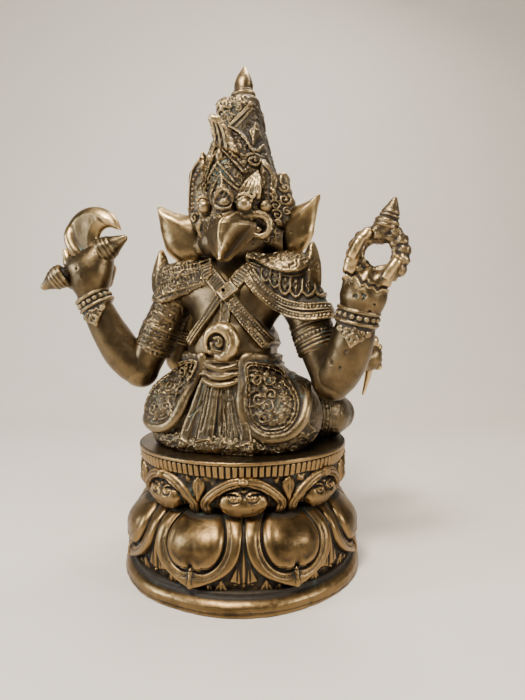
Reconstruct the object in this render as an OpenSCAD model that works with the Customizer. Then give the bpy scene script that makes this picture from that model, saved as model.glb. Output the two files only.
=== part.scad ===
// Seated four-armed elephant-headed deity on a double lotus pedestal, cast in bronze.
// +Z is up and the figure faces +Y. The origin is on the resting plane, at the pedestal's axis.
// Left and right are the figure's own, so left is -X. The rear of the figure, with its bird mask, is -Y.

/* [Pedestal] */
// Radius of the base ring
base_r = 92; // [88:1:94]
// Height of the base ring
base_h = 13; // [11:1:15]
// Height at which the lower lotus tier ends
lower_top = 57; // [55:1:59]
// Height at which the upper lotus tier ends
upper_top = 86; // [84:1:88]
// Height of the seat plate's top face
seat_top = 96; // [95:1:97]
// Radius of the seat plate over its teeth
seat_r = 83; // [81:1:85]
// Number of teeth round the seat plate
seat_teeth = 116; // [90:2:130]
// Number of petals in each tier
petals = 8; // [6:1:10]
// Wall of the hollow castings
wall = 4; // [3:0.5:5]

/* [Figure] */
// Half the distance between the rear shoulder joints
shoulder_x = 50; // [47:1:53]
// Height of the shoulder joints
shoulder_z = 212; // [208:1:216]
// Radius of the upper arms
arm_r = 15; // [13:0.5:16]
// Radius of the wrists
wrist_r = 9.5; // [8:0.5:11]
// Reach of the ears to each side
ear_reach = 66; // [60:1:70]
// Height at which the crown starts
crown_z = 279; // [277:1:281]
// Height of the crown's tip
crown_top = 396; // [390:1:400]
// Lean of the crown towards the front, in degrees
crown_lean = 7; // [4:1:9]

/* [Fixing stud] */
// Radius of the stud
stud_r = 4; // [3:0.5:5]
// Radial clearance round the stud
stud_gap = 0.3; // [0.2:0.1:0.5]
// Length of the stud
stud_len = 34; // [30:1:38]

/* [Hidden] */

bronze = "#8a6a3c";
dark_bronze = "#5c4528";
pale_bronze = "#a8854c";
steel = "#9a9a9a";
turn_fn = 72;
ball_fn = 18;
petal_turn = 18;
seat_disc = 4;
tooth_depth = 2;
rim_lip = 0.5;
washer_r = 10;
washer_h = 1.6;
nut_r = 7.5;
nut_h = 6.5;
hip_floor = seat_top + 0.4;
stud_foot = seat_top - seat_disc - washer_h - nut_h - 2;
mask_plane = -31;

// Joint centres of the arms
left_shoulder = [-shoulder_x, -20, shoulder_z];
left_elbow = [-78, -30, 151];
left_wrist = [-112, -42, 207];
left_palm = [-115, -44, 230];
right_shoulder = [shoulder_x, -20, shoulder_z];
right_elbow = [76, -30, 145];
right_wrist = [94, -42, 188];
right_palm = [98, -44, 211];
front_left_shoulder = [-44, 2, shoulder_z - 10];
front_left_elbow = [-63, 14, 158];
front_left_wrist = [-38, 46, 157];
front_left_palm = [-26, 54, 160];
front_right_shoulder = [44, 2, shoulder_z - 10];
front_right_elbow = [68, 14, 156];
front_right_wrist = [90, 42, 156];
front_right_palm = [97, 50, 160];
blade_centre = [-110, -44, 256];
ring_centre = [108, -44, 235];
bowl_foot = [-24, 58, 168];

function mid(a, b, t) = a + (b - a) * t;
function mirrored(p, side) = [side * p.x, p.y, p.z];
function arc(c, r, a0, a1, n) = [for (i = [0 : n]) let (a = a0 + (a1 - a0) * i / n) c + r * [cos(a), sin(a)]];
// Outside radius of the lower tier's drum at height z, an ellipse
function lower_r(z) = 60 + 26 * sqrt(1 - pow((z - 28) / 36, 2));
// Outside radius of the upper tier's drum at height z, an ellipse
function upper_r(z) = 54 + 26 * sqrt(1 - pow((z - 78) / 24, 2));

// A ball at a point
module ball(p, r) translate(p) sphere(r, $fn = ball_fn);

// A straight frustum from a to b
module taper(a, b, ra, rb) {
    v = b - a;
    translate(a) rotate([0, acos(v.z / norm(v)), atan2(v.y, v.x)])
        cylinder(h = norm(v), r1 = ra, r2 = rb, $fn = turn_fn);
}

// Children moved so that +Z runs from a towards b
module along(a, b) {
    v = b - a;
    translate(a) rotate([0, acos(v.z / norm(v)), atan2(v.y, v.x)]) children();
}

// The convex skin round balls given as [point, radius]
module skin(balls) hull() for (b = balls) ball(b[0], b[1]);

// A block that fills everything below height z
module below(z) translate([-150, -150, z - 100]) cube([300, 300, 100]);

// A block that fills everything behind the plane y = v
module behind(v) translate([-150, v - 200, 0]) cube([300, 200, 420]);

// A block that fills everything in front of the plane y = v
module ahead(v) translate([-150, v, 0]) cube([300, 200, 420]);

// The crown's own frame, leaning to the front
module crown_frame() translate([0, -13, crown_z]) rotate([-crown_lean, 0, 0]) children();

// ---- Pedestal ----

module base_ring() color(bronze)
    rotate_extrude($fn = turn_fn)
        polygon(concat([[base_r - 14, base_h], [base_r - 14, 0]],
            arc([base_r - base_h / 2, base_h / 2], base_h / 2, -90, 90, 10)));

// A turned shell between two heights, with one ball-shaped swelling for each petal
module lotus_tier(z0, z1, steps, ball_r, ball_at, ball_z, turn) {
    function r_at(z) = z0 < lower_top ? lower_r(z) : upper_r(z);
    outer = [for (i = [0 : steps]) let (z = z0 + (z1 - z0) * i / steps) [r_at(z), z]];
    inner = [for (p = outer) [p.x - wall, p.y]];
    difference() {
        union() {
            rotate_extrude($fn = turn_fn) polygon(concat([[0, z0]], outer, [[0, z1]]));
            for (i = [0 : petals - 1]) rotate(turn + 360 / petals * i)
                translate([ball_at, 0, ball_z]) sphere(ball_r, $fn = turn_fn);
        }
        rotate_extrude($fn = turn_fn)
            polygon(concat([[0, z0 - 1], [inner[0].x, z0 - 1]], inner, [[inner[steps].x, z1 + 1], [0, z1 + 1]]));
        translate([0, 0, z1]) cylinder(h = 30, r = 120, $fn = turn_fn);
        translate([0, 0, z0 - 30]) cylinder(h = 30, r = 120, $fn = turn_fn);
    }
}

module lower_lotus_tier() color(bronze)
    lotus_tier(base_h, lower_top, 8, 27, 65.5, 41, -90 + petal_turn + 180 / petals);

module upper_lotus_tier() color(dark_bronze)
    lotus_tier(lower_top, upper_top, 8, 15, 68, 71.5, -90 + petal_turn);

// The seat plate's outline, with square teeth
function teeth() = [for (i = [0 : seat_teeth - 1], k = [0 : 3])
    let (a = (i + k / 4) * 360 / seat_teeth, r = seat_r - rim_lip - (k == 1 || k == 2 ? 0 : tooth_depth))
    r * [cos(a), sin(a)]];

module seat_plate() color(bronze) difference() {
    union() {
        translate([0, 0, upper_top]) linear_extrude(seat_top - upper_top - 2) polygon(teeth());
        translate([0, 0, seat_top - 2]) cylinder(h = 2, r = seat_r, $fn = turn_fn);
    }
    translate([0, 0, upper_top - 1])
        cylinder(h = seat_top - seat_disc - upper_top + 1, r = seat_r - wall - tooth_depth - rim_lip, $fn = turn_fn);
    translate([0, 0, upper_top]) cylinder(h = 20, r = stud_r + stud_gap, $fn = turn_fn);
}

// ---- Hidden fixing ----

module figure_stud() color(steel)
    translate([0, 0, stud_foot]) cylinder(h = stud_len, r = stud_r, $fn = turn_fn);

module stud_washer() color(steel) translate([0, 0, seat_top - seat_disc - washer_h]) difference() {
    cylinder(h = washer_h, r = washer_r, $fn = turn_fn);
    translate([0, 0, -1]) cylinder(h = washer_h + 2, r = stud_r + stud_gap, $fn = turn_fn);
}

module stud_nut() color(steel)
    translate([0, 0, seat_top - seat_disc - washer_h - nut_h]) difference() {
        cylinder(h = nut_h, r = nut_r, $fn = 6);
        translate([0, 0, -1]) cylinder(h = nut_h + 2, r = stud_r + 0.05, $fn = turn_fn);
    }

// ---- Lower body ----

module hips_skin(inset) skin([
    for (s = [-1, 1]) [[s * 40, -26, 119], 26 - inset],
    for (s = [-1, 1]) [[s * 26, 14, 115], 22 - inset],
    [[0, -30, 118], 26 - inset],
    [[0, -22, 140], 25 - inset]
]);

// The hollow of the hips, open underneath, with a post left standing for the stud
module hips_hollow() difference() {
    union() {
        for (x = [-36, -12, 12, 36]) translate([x, -16, hip_floor - 5]) cylinder(h = 38, r = 22, $fn = turn_fn);
        for (x = [-22, 22]) translate([x, 12, hip_floor - 5]) cylinder(h = 34, r = 14, $fn = turn_fn);
    }
    cylinder(h = 180, r = 3 * stud_r, $fn = turn_fn);
}

module hips() color(bronze) difference() {
    hips_skin(0);
    below(hip_floor);
    hips_hollow();
    cylinder(h = stud_foot + stud_len + 1, r = stud_r + 0.05, $fn = turn_fn);
}

module thigh(side) color(bronze) difference() {
    skin([[[side * 36, 2, 119], 21], [[side * 62, 24, 118], 19], [[side * 70, 34, 115], 17]]);
    hips_skin(0);
    below(hip_floor);
}

module left_thigh() thigh(-1);
module right_thigh() thigh(1);

module shin(side, lift) color(pale_bronze) difference() {
    union() {
        skin([[[side * 64, 46, 111 + lift], 14], [[side * 20, 64, 108 + lift], 10]]);
        skin([[[side * 20, 64, 108 + lift], 9], [[-side * 6, 66, 106 + lift], 8], [[-side * 20, 58, 105 + lift], 6]]);
    }
    skin([[[side * 36, 2, 119], 21], [[side * 62, 24, 118], 19], [[side * 70, 34, 115], 17]]);
    below(hip_floor);
}

module left_shin() shin(-1, 0);
module right_shin() difference() {
    shin(1, 14);
    shin(-1, 0);
}

module rear_apron() color(pale_bronze) difference() {
    hull() {
        for (s = [-1, 1]) {
            ball([s * 12, -50, 158], 4);
            ball([s * 27, -58, 104], 4);
        }
        ball([0, -62, 104], 4);
    }
    hips_skin(0);
    torso_skin(0);
    below(hip_floor);
}

module hip_panel(side) color(dark_bronze) difference() {
    hull() {
        ball([side * 22, -48, 165], 4);
        ball([side * 40, -38, 165], 4);
        ball([side * 30, -60, 118], 5);
        ball([side * 46, -52, 122], 6);
        ball([side * 58, -36, 134], 5);
    }
    hips_skin(0);
    torso_skin(0);
    below(hip_floor);
}

module left_hip_panel() hip_panel(-1);
module right_hip_panel() hip_panel(1);

module waist_sash() color(pale_bronze) difference() {
    translate([0, -17, 150]) cylinder(h = 13, r = 38, $fn = turn_fn);
    hips_skin(0);
    torso_skin(0);
    ahead(-17);
}

module sash_knot() color(bronze) difference() {
    translate([0, -40, 171]) rotate([90, 0, 0]) cylinder(h = 13, r = 15, $fn = turn_fn);
    torso_skin(0);
    translate([-3, -45, 167]) rotate([90, 0, 0]) cylinder(h = 20, r = 3, $fn = turn_fn);
}

// ---- Torso ----

module torso_skin(inset) skin([
    for (s = [-1, 1]) [[s * 30, -20, 214], 18 - inset],
    for (s = [-1, 1]) [[s * 8, -22, 190], 25 - inset],
    for (s = [-1, 1]) [[s * 9, -22, 160], 26 - inset],
    [[0, -6, 168], 26 - inset],
    [[0, -16, 232], 14 - inset]
]);

module torso() color(bronze) difference() {
    torso_skin(0);
    hips_skin(0);
    torso_skin(wall + 1);
}

module chest_straps() color(dark_bronze) difference() {
    for (s = [-1, 1]) hull() {
        ball([s * 27, -37, 184], 4);
        ball([0, -45, 210], 4);
        ball([s * 10, -38, 226], 4);
    }
    torso_skin(0);
    translate([-7, -60, 204]) cube([14, 30, 14]);
}

module strap_buckle() color(bronze) difference() {
    translate([-6.8, -50, 204.2]) cube([13.6, 8, 13.6]);
    torso_skin(0);
    translate([0, -40, 211]) rotate([90, 0, 0]) cylinder(h = 20, r = 1.6, $fn = turn_fn);
}

module shoulder_collar(side) color(dark_bronze) difference() {
    hull() {
        ball([side * 12, -26, 232], 9);
        ball([side * 20, -34, 218], 8);
        ball([side * 46, -26, 226], 12);
        ball([side * 56, -22, 222], 10);
        ball([side * 61, -25, 245], 2);
    }
    torso_skin(0);
    ball(mirrored(right_shoulder, side), arm_r + 2.5);
    taper(mirrored(right_shoulder, side), side < 0 ? left_elbow : right_elbow, arm_r + 1, arm_r - 1);
    head_skin();
    skin(ear_balls(side));
}

module left_shoulder_collar() shoulder_collar(-1);
module right_shoulder_collar() shoulder_collar(1);

module front_necklace() color(pale_bronze) difference() {
    skin([[[-26, 0, 222], 5], [[26, 0, 222], 5], [[-12, 12, 200], 4], [[12, 12, 200], 4]]);
    torso_skin(0);
    head_skin();
}

// ---- Arms ----

module upper_arm_skin(a, b, r) {
    ball(a, r + 2);
    taper(a, b, r + 1, r - 1);
}

module upper_arm(a, b, r) color(bronze) difference() {
    upper_arm_skin(a, b, r);
    torso_skin(0);
    ball(b, r);
}

module forearm(a, b, r, w) color(pale_bronze) union() {
    ball(a, r);
    taper(a, b, r - 0.8, w);
}

module hand(w, p, r, tip) color(pale_bronze) difference() {
    skin([[w, r - 3], [p, r], [tip, r - 3]]);
    children();
}

// A turned band round a limb: from t0 to t1 of the way from a to b
module cuff(a, b, t0, t1, inner0, inner1, thick) color(dark_bronze) difference() {
    along(mid(a, b, t0), b) cylinder(h = norm(b - a) * (t1 - t0), r = inner0 + thick, $fn = turn_fn);
    taper(a, b, inner0, inner1);
}

module left_upper_arm() upper_arm(left_shoulder, left_elbow, arm_r);
module left_forearm() forearm(left_elbow, mid(left_elbow, left_wrist, 0.96), arm_r - 0.5, wrist_r);
module left_hand() difference() {
    hand(left_wrist, left_palm, 14, [-111, -43, 244])
        taper(left_elbow, mid(left_elbow, left_wrist, 0.96), arm_r, wrist_r + 0.5);
    hook_handle_axis(5);
    blade_plate(9);
}
module left_armlet() difference() {
    cuff(left_shoulder, left_elbow, 0.3, 0.62, arm_r + 1, arm_r - 1, 3.5);
    torso_skin(0);
}
module left_bracelet() difference() {
    cuff(left_elbow, left_wrist, 0.8, 0.94, wrist_r + 2, wrist_r + 0.4, 3.5);
    hull() {
        ball(left_wrist, 11);
        ball(left_palm, 14);
    }
}

module right_upper_arm() upper_arm(right_shoulder, right_elbow, arm_r);
module right_forearm() forearm(right_elbow, mid(right_elbow, right_wrist, 0.96), arm_r, wrist_r);
module right_hand() difference() {
    hand(right_wrist, right_palm, 14, [97, -44, 231])
        taper(right_elbow, mid(right_elbow, right_wrist, 0.96), arm_r, wrist_r + 0.5);
    rosary_torus(0.1);
}
module right_armlet() difference() {
    cuff(right_shoulder, right_elbow, 0.3, 0.62, arm_r + 1, arm_r - 1, 3.5);
    torso_skin(0);
}
module right_bracelet() difference() {
    cuff(right_elbow, right_wrist, 0.74, 0.92, wrist_r + 2, wrist_r + 0.4, 3.5);
    hull() {
        ball(right_wrist, 11);
        ball(right_palm, 14);
    }
}

module front_left_upper_arm() difference() {
    upper_arm(front_left_shoulder, front_left_elbow, arm_r - 3);
    upper_arm_skin(left_shoulder, left_elbow, arm_r);
}
module front_left_forearm() forearm(front_left_elbow, front_left_wrist, arm_r - 3.5, 8);
module front_left_hand() hand(front_left_wrist, front_left_palm, 9, [-16, 60, 161]) {
    taper(front_left_elbow, front_left_wrist, arm_r - 3, 8.5);
    translate([0, 0, bowl_foot.z]) cylinder(h = 30, r = 90, $fn = turn_fn);
}

module front_right_upper_arm() difference() {
    upper_arm(front_right_shoulder, front_right_elbow, arm_r - 3);
    upper_arm_skin(right_shoulder, right_elbow, arm_r);
}
module front_right_forearm() forearm(front_right_elbow, front_right_wrist, arm_r - 3.5, 8);
module front_right_hand() hand(front_right_wrist, front_right_palm, 9, [98, 56, 158]) {
    taper(front_right_elbow, front_right_wrist, arm_r - 3, 8.5);
    broken_tusk();
}

// ---- Held attributes ----

module hook_handle_axis(r) taper([-139, -54, 221], [-91, -37, 253], r, r);

// The crescent blade: a disc with a round bite, standing in the plane that faces the rear
module blade_plate(t) translate(blade_centre) rotate([90, 0, 0]) translate([0, 0, -t / 2])
    linear_extrude(t) difference() {
        circle(20, $fn = turn_fn);
        translate([6, -5]) circle(12, $fn = turn_fn);
        translate([4, -40]) square([40, 34]);
    }

module hook_blade() color(bronze) difference() {
    blade_plate(8);
    hook_handle_axis(5);
}

module hook_handle() color(dark_bronze) {
    hook_handle_axis(4.8);
    taper([-139, -54, 221], [-146, -56.5, 216.3], 6, 1);
    taper([-91, -37, 253], [-84, -34.5, 257.7], 6, 1);
}

module rosary_torus(gap) translate(ring_centre) rotate([90, 0, 0])
    rotate_extrude($fn = turn_fn) translate([12, 0]) circle(4.5 + gap, $fn = 32);

module rosary_ring() color(dark_bronze) rosary_torus(0);

module rosary_cone() color(bronze) difference() {
    along([110, -44, 249], [116.5, -46, 269]) rotate_extrude($fn = turn_fn)
        polygon([[0, 0], [7, 0], [8, 4], [6.5, 5], [6.5, 8], [4.5, 13], [2, 19], [0.6, 21], [0, 21]]);
    rosary_torus(0.1);
}

module broken_tusk() color(pale_bronze) taper([100, 50, 171], [93, 50, 129], 5.5, 1);

module sweets_bowl() color(bronze) translate(bowl_foot) rotate_extrude($fn = turn_fn)
    polygon([[0, 0], [7, 0], [12, 3], [16, 9], [14, 9], [10, 5], [0, 4]]);

module sweets() color(pale_bronze) intersection() {
    translate(bowl_foot + [0, 0, 7.5]) sphere(11, $fn = turn_fn);
    translate(bowl_foot + [0, 0, 9]) cylinder(h = 20, r = 13, $fn = turn_fn);
}

// ---- Head ----

module head_skin(inset = 0) skin([
    for (s = [-1, 1]) [[s * 9, -10, 262], 24 - inset],
    for (s = [-1, 1]) [[s * 12, 8, 266], 21 - inset],
    [[0, 16, 252], 17 - inset],
    [[0, -10, 244], 17 - inset]
]);

module head() color(bronze) difference() {
    head_skin();
    head_skin(wall + 1);
    torso_skin(0);
    behind(mask_plane);
    crown_frame() translate([-60, -60, 0]) cube([120, 120, 80]);
}

module trunk_piece(a, b, ra, rb) skin([[a, ra], [b, rb]]);

module trunk() color(pale_bronze) difference() {
    union() {
        trunk_piece([0, 26, 250], [0, 38, 228], 13, 11);
        trunk_piece([0, 38, 228], [-4, 42, 206], 11, 9.5);
        trunk_piece([-4, 42, 206], [-14, 50, 190], 9.5, 8);
        trunk_piece([-14, 50, 190], [-24, 56, 186], 8, 6);
    }
    head_skin();
    sweets();
}

module tusks() color(pale_bronze) difference() {
    for (s = [-1, 1]) taper([s * 13, 26, 248], [s * 19, 40, s < 0 ? 232 : 238], 5, s < 0 ? 1.5 : 3.5);
    head_skin();
    trunk_piece([0, 26, 250], [0, 38, 228], 13, 11);
}

function ear_balls(side) = [
    [[side * 27, -6, 276], 4], [[side * 26, -4, 240], 4], [[side * (ear_reach - 2), -20, 281], 1.5],
    [[side * 54, -14, 256], 4], [[side * 42, -9, 238], 4]
];

module ear(side) color(pale_bronze) difference() {
    skin(ear_balls(side));
    head_skin();
    torso_skin(0);
}

module left_ear() ear(-1);
module right_ear() ear(1);

module crown_body() color(dark_bronze) difference() {
    crown_frame() rotate_extrude($fn = turn_fn) polygon([
        [26, 0], [31, 0], [32, 5], [30, 9], [28, 25], [23, 42], [21, 60], [20, 78], [16, 86], [12, 89],
        [0, 89], [0, 66], [16, 60], [18, 42], [23, 25]
    ]);
    behind(mask_plane);
}

module crown_finial() color(pale_bronze) crown_frame() translate([0, 0, 89])
    rotate_extrude($fn = turn_fn) polygon([
        [0, 0], [12, 0], [12, 2.5], [9, 3], [9, 5], [6.5, 6], [8.5, 11], [7, 16], [3, 25],
        [0.6, (crown_top - crown_z) / cos(crown_lean) - 89], [0, (crown_top - crown_z) / cos(crown_lean) - 89]
    ]);

module crown_flange(side) color(dark_bronze) difference() {
    hull() {
        ball([side * 34, -14, 290], 3);
        ball([side * 37, -18, 282], 4);
        ball([side * 36, -20, 262], 4);
        ball([side * 26, -26, 262], 4);
        ball([side * 26, -20, 292], 4);
    }
    head_skin();
    crown_frame() cylinder(h = 60, r = 32.5, $fn = turn_fn);
    behind(mask_plane);
    skin(ear_balls(side));
}

module left_crown_flange() crown_flange(-1);
module right_crown_flange() crown_flange(1);

module bird_mask() color(dark_bronze) difference() {
    union() {
        skin([
            for (s = [-1, 1]) [[s * 24, -30, 262], 10],
            for (s = [-1, 1]) [[s * 15, -38, 272], 9],
            [[0, -36, 250], 12], [[0, -38, 300], 8]
        ]);
        for (s = [-1, 1]) ball([s * 15, -44, 273], 7);
    }
    ahead(mask_plane);
    torso_skin(0);
}

module beak_skin() skin([
    [[-10, -42, 264], 6], [[10, -42, 264], 6], [[0, -50, 262], 5], [[0, -55, 234], 1.5]
]);

module bird_beak() color(pale_bronze) difference() {
    beak_skin();
    bird_mask();
}

module mask_crest() color(bronze) difference() {
    hull() {
        ball([0, -36, 300], 8);
        ball([0, -48, 300], 4);
        ball([0, -56, 326], 3);
        ball([0, -46, 326], 3);
    }
    bird_mask();
    ahead(mask_plane);
}

// ---- Assembly ----

base_ring();
lower_lotus_tier();
upper_lotus_tier();
seat_plate();
figure_stud();
stud_washer();
stud_nut();
hips();
left_thigh();
right_thigh();
left_shin();
right_shin();
rear_apron();
left_hip_panel();
right_hip_panel();
waist_sash();
sash_knot();
torso();
chest_straps();
strap_buckle();
left_shoulder_collar();
right_shoulder_collar();
front_necklace();
left_upper_arm();
left_forearm();
left_hand();
left_armlet();
left_bracelet();
right_upper_arm();
right_forearm();
right_hand();
right_armlet();
right_bracelet();
front_left_upper_arm();
front_left_forearm();
front_left_hand();
front_right_upper_arm();
front_right_forearm();
front_right_hand();
hook_blade();
hook_handle();
rosary_ring();
rosary_cone();
broken_tusk();
sweets_bowl();
sweets();
head();
trunk();
tusks();
left_ear();
right_ear();
crown_body();
crown_finial();
left_crown_flange();
right_crown_flange();
bird_mask();
bird_beak();
mask_crest();
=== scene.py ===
"""Cast bronze elephant-headed deity on a double lotus pedestal.

The figure is modelled the way a founder models wax: lumps, rolls and strips are pressed together in a block
of clay, which is a signed distance field, and patterns are pressed onto its surface before the skin is taken
off as a mesh. The pedestal is turned: its relief is a map of radius over angle and height. Sizes are in
millimetres until a mesh is made. The deity faces +Y, so its back, with the bird mask, is towards -Y, and its
left is -X.
"""
import math

import bpy
import numpy as np
from mathutils import Matrix, Vector


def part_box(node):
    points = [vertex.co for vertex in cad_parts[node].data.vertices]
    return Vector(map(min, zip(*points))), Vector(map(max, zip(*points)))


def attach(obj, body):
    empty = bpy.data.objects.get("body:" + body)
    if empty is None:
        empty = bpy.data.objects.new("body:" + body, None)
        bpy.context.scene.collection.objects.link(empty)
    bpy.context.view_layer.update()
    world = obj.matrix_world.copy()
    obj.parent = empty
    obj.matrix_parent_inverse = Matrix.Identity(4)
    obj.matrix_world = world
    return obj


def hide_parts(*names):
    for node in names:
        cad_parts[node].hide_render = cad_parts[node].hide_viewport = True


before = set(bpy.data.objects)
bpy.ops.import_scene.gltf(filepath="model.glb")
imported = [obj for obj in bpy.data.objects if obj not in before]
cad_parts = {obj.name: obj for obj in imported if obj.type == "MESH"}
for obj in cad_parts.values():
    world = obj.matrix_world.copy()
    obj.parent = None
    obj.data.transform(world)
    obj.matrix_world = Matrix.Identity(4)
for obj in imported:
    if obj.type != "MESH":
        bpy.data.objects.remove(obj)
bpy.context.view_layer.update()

MM = 0.001
FAR = 8.0
VOXEL = 0.8
rng = np.random.default_rng(7)


# ---------------------------------------------------------------- clay

def soft_min(a, b, k):
    """The smaller of two fields, blended where they differ by less than k."""
    if k <= 0:
        return np.minimum(a, b)
    h = np.maximum(k - np.abs(a - b), 0) / k
    return np.minimum(a, b) - h * h * k * 0.25


def smooth(low, high, x):
    """0 below low, 1 above high, and an even curve between."""
    t = np.clip((x - low) / (high - low), 0, 1)
    return t * t * (3 - 2 * t)


def unit(v):
    v = np.asarray(v, float)
    return v / np.maximum(np.linalg.norm(v, axis=-1, keepdims=True), 1e-9)


def curve(points, count=0, closed=False):
    """A smooth curve through points, as many rows as count, or one per 0.8 mm."""
    p = np.asarray(points, float)
    if len(p) < 2:
        return p
    q = np.vstack([p[-1], p, p[0], p[1]]) if closed else np.vstack([2 * p[0] - p[1], p, 2 * p[-1] - p[-2]])
    out = []
    for i in range(len(q) - 3):
        a, b, c, d = q[i:i + 4]
        t = np.linspace(0, 1, 17)[:-1, None]
        out.append(b + 0.5 * t * (c - a + t * (2 * a - 5 * b + 4 * c - d + t * (3 * (b - c) + d - a))))
    out.append(q[-2][None] if not closed else p[:1])
    fine = np.vstack(out)
    run = np.concatenate([[0], np.cumsum(np.linalg.norm(np.diff(fine, axis=0), axis=1))])
    n = count or max(int(run[-1] / 0.8), 3)
    where = np.linspace(0, run[-1], n)
    return np.stack([np.interp(where, run, fine[:, i]) for i in range(p.shape[1])], axis=1)


class Clay:
    """A block of clay: a signed distance field on its own grid, negative inside."""

    reach = 3.0

    def __init__(self, low, high, step=None):
        self.step = step or VOXEL
        self.low = np.array(low, np.float32) - 3 * self.step
        top = np.array(high, np.float32) + 3 * self.step
        counts = np.ceil((top - self.low) / self.step).astype(int) + 1
        self.axes = [self.low[i] + self.step * np.arange(counts[i], dtype=np.float32) for i in range(3)]
        self.d = np.full(tuple(counts), FAR, np.float32)

    @property
    def high(self):
        return np.array([axis[-1] for axis in self.axes])

    def grid(self):
        """The x, y and z of every cell, shaped so that together they span the block."""
        x, y, z = self.axes
        return x[:, None, None], y[None, :, None], z[None, None, :]

    def offsets(self, c):
        """How far every cell is from a point, in x, y and z."""
        return [w - v for w, v in zip(self.grid(), c)]

    def depth(self, outline):
        """How deep every cell is inside an outline drawn in x and z."""
        x, _, z = self.grid()
        return signed(x[:, 0], z[0], np.asarray(outline, float))[:, None, :]

    def copy(self):
        return self.part(self.low, self.high)

    def part(self, low, high):
        """A copy of what lies between two corners."""
        a = np.maximum(((np.array(low) - self.low) / self.step).astype(int), 0)
        b = np.minimum(((np.array(high) - self.low) / self.step).astype(int) + 2, self.d.shape)
        new = object.__new__(Clay)
        new.step, new.low = self.step, self.low + self.step * a
        new.axes = [self.axes[i][a[i]:b[i]] for i in range(3)]
        new.d = self.d[a[0]:b[0], a[1]:b[1], a[2]:b[2]].copy()
        return new

    def window(self, low, high, pad):
        cut, grids = [], []
        for i in range(3):
            a = max(int((low[i] - pad - self.low[i]) / self.step), 0)
            b = min(int((high[i] + pad - self.low[i]) / self.step) + 2, len(self.axes[i]))
            if b <= a:
                return None, None
            shape = [1, 1, 1]
            shape[i] = b - a
            cut.append(slice(a, b))
            grids.append(self.axes[i][a:b].reshape(shape))
        return tuple(cut), grids

    def _put(self, low, high, distance, soft, carve):
        cut, grids = self.window(low, high, self.reach + soft)
        if cut is None:
            return self
        new, old = distance(*grids), self.d[cut]
        self.d[cut] = -soft_min(-old, new, soft) if carve else soft_min(old, new, soft)
        return self

    def ball(self, c, r, soft=0.0, carve=False):
        c = np.asarray(c, float)
        return self._put(c - r, c + r, lambda x, y, z: np.sqrt(
            (x - c[0]) ** 2 + (y - c[1]) ** 2 + (z - c[2]) ** 2) - r, soft, carve)

    def egg(self, c, radii, turn=(0, 0, 0), soft=0.0, carve=False):
        """An ellipsoid, turned by degrees about X, then Y, then Z."""
        c, radii = np.asarray(c, float), np.asarray(radii, float)
        x, y, z = (Matrix.Rotation(math.radians(angle), 3, axis) for angle, axis in zip(turn, "XYZ"))
        m = np.array(z @ y @ x)
        reach = np.sqrt(((m * radii) ** 2).sum(axis=1))

        def distance(x, y, z):
            x, y, z = x - c[0], y - c[1], z - c[2]
            q = [(m[0, i] * x + m[1, i] * y + m[2, i] * z) / radii[i] for i in range(3)]
            k0 = np.sqrt(q[0] ** 2 + q[1] ** 2 + q[2] ** 2) + 1e-6
            k1 = np.sqrt((q[0] / radii[0]) ** 2 + (q[1] / radii[1]) ** 2 + (q[2] / radii[2]) ** 2) + 1e-6
            return (k0 * (k0 - 1) / k1).astype(np.float32)
        return self._put(c - reach, c + reach, distance, soft, carve)

    def rod(self, a, b, ra, rb=None, soft=0.0, carve=False, flat=None):
        """A roll from a to b; flat=(direction, times) makes it that many times thinner that way."""
        a, b = np.asarray(a, float), np.asarray(b, float)
        rb = ra if rb is None else rb
        ab = b - a
        size = max(float(ab @ ab), 1e-9)
        r = max(ra, rb)
        n, times = (unit(flat[0]), flat[1]) if flat else (None, 1)

        def distance(x, y, z):
            x, y, z = x - a[0], y - a[1], z - a[2]
            t = np.clip((x * ab[0] + y * ab[1] + z * ab[2]) / size, 0, 1)
            x, y, z = x - t * ab[0], y - t * ab[1], z - t * ab[2]
            square = x * x + y * y + z * z
            if n is not None:
                along = x * n[0] + y * n[1] + z * n[2]
                square = square + (times * times - 1) * along * along
                return ((np.sqrt(square) - (ra + (rb - ra) * t)) / math.sqrt(times)).astype(np.float32)
            return (np.sqrt(square) - (ra + (rb - ra) * t)).astype(np.float32)
        return self._put(np.minimum(a, b) - r, np.maximum(a, b) + r, distance, soft, carve)

    def tube(self, points, r, soft=0.0):
        """A roll along points; r is one radius or a radius for each point."""
        p = np.asarray(points, float)
        r = np.broadcast_to(r, len(p))
        for i in range(len(p) - 1):
            self.rod(p[i], p[i + 1], r[i], r[i + 1], soft=soft)
        return self

    def field(self, low, high, distance, soft=0.0, carve=False):
        return self._put(np.asarray(low, float), np.asarray(high, float), distance, soft, carve)

    def stick(self, other, soft=0.0, margin=None):
        """Adds a block of another grid to this one, all but a margin at its ends."""
        margin = margin or other.step
        cut, grids = self.window(other.low + margin, other.high - margin, 0)
        cells = np.stack(np.meshgrid(*[g.ravel() for g in grids], indexing="ij"), axis=-1)
        d = other.at(cells.reshape(-1, 3)).reshape(cells.shape[:3]).astype(np.float32)
        self.d[cut] = soft_min(self.d[cut], d, soft)

    def at(self, p):
        return sample(self.d, self.low, self.step, p)

    def normal(self, p):
        e = self.step
        steps = np.eye(3) * e
        return unit(np.stack([self.at(p + step) - self.at(p - step) for step in steps], axis=-1))

    def throw(self, points, aim):
        """Carries points along aim until they meet the surface, and gives the normals there too."""
        p = np.array(points, float)
        aim = np.broadcast_to(unit(aim), p.shape)
        for _ in range(70):
            d = self.at(p)
            p = p + aim * np.where(d > 0.02, np.maximum(d * 0.9, 0.03), d)[:, None]
        return p, self.normal(p)

    def snap(self, points):
        p = np.array(points, float)
        for _ in range(6):
            p = p - self.normal(p) * self.at(p)[:, None]
        return p, self.normal(p)

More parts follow.
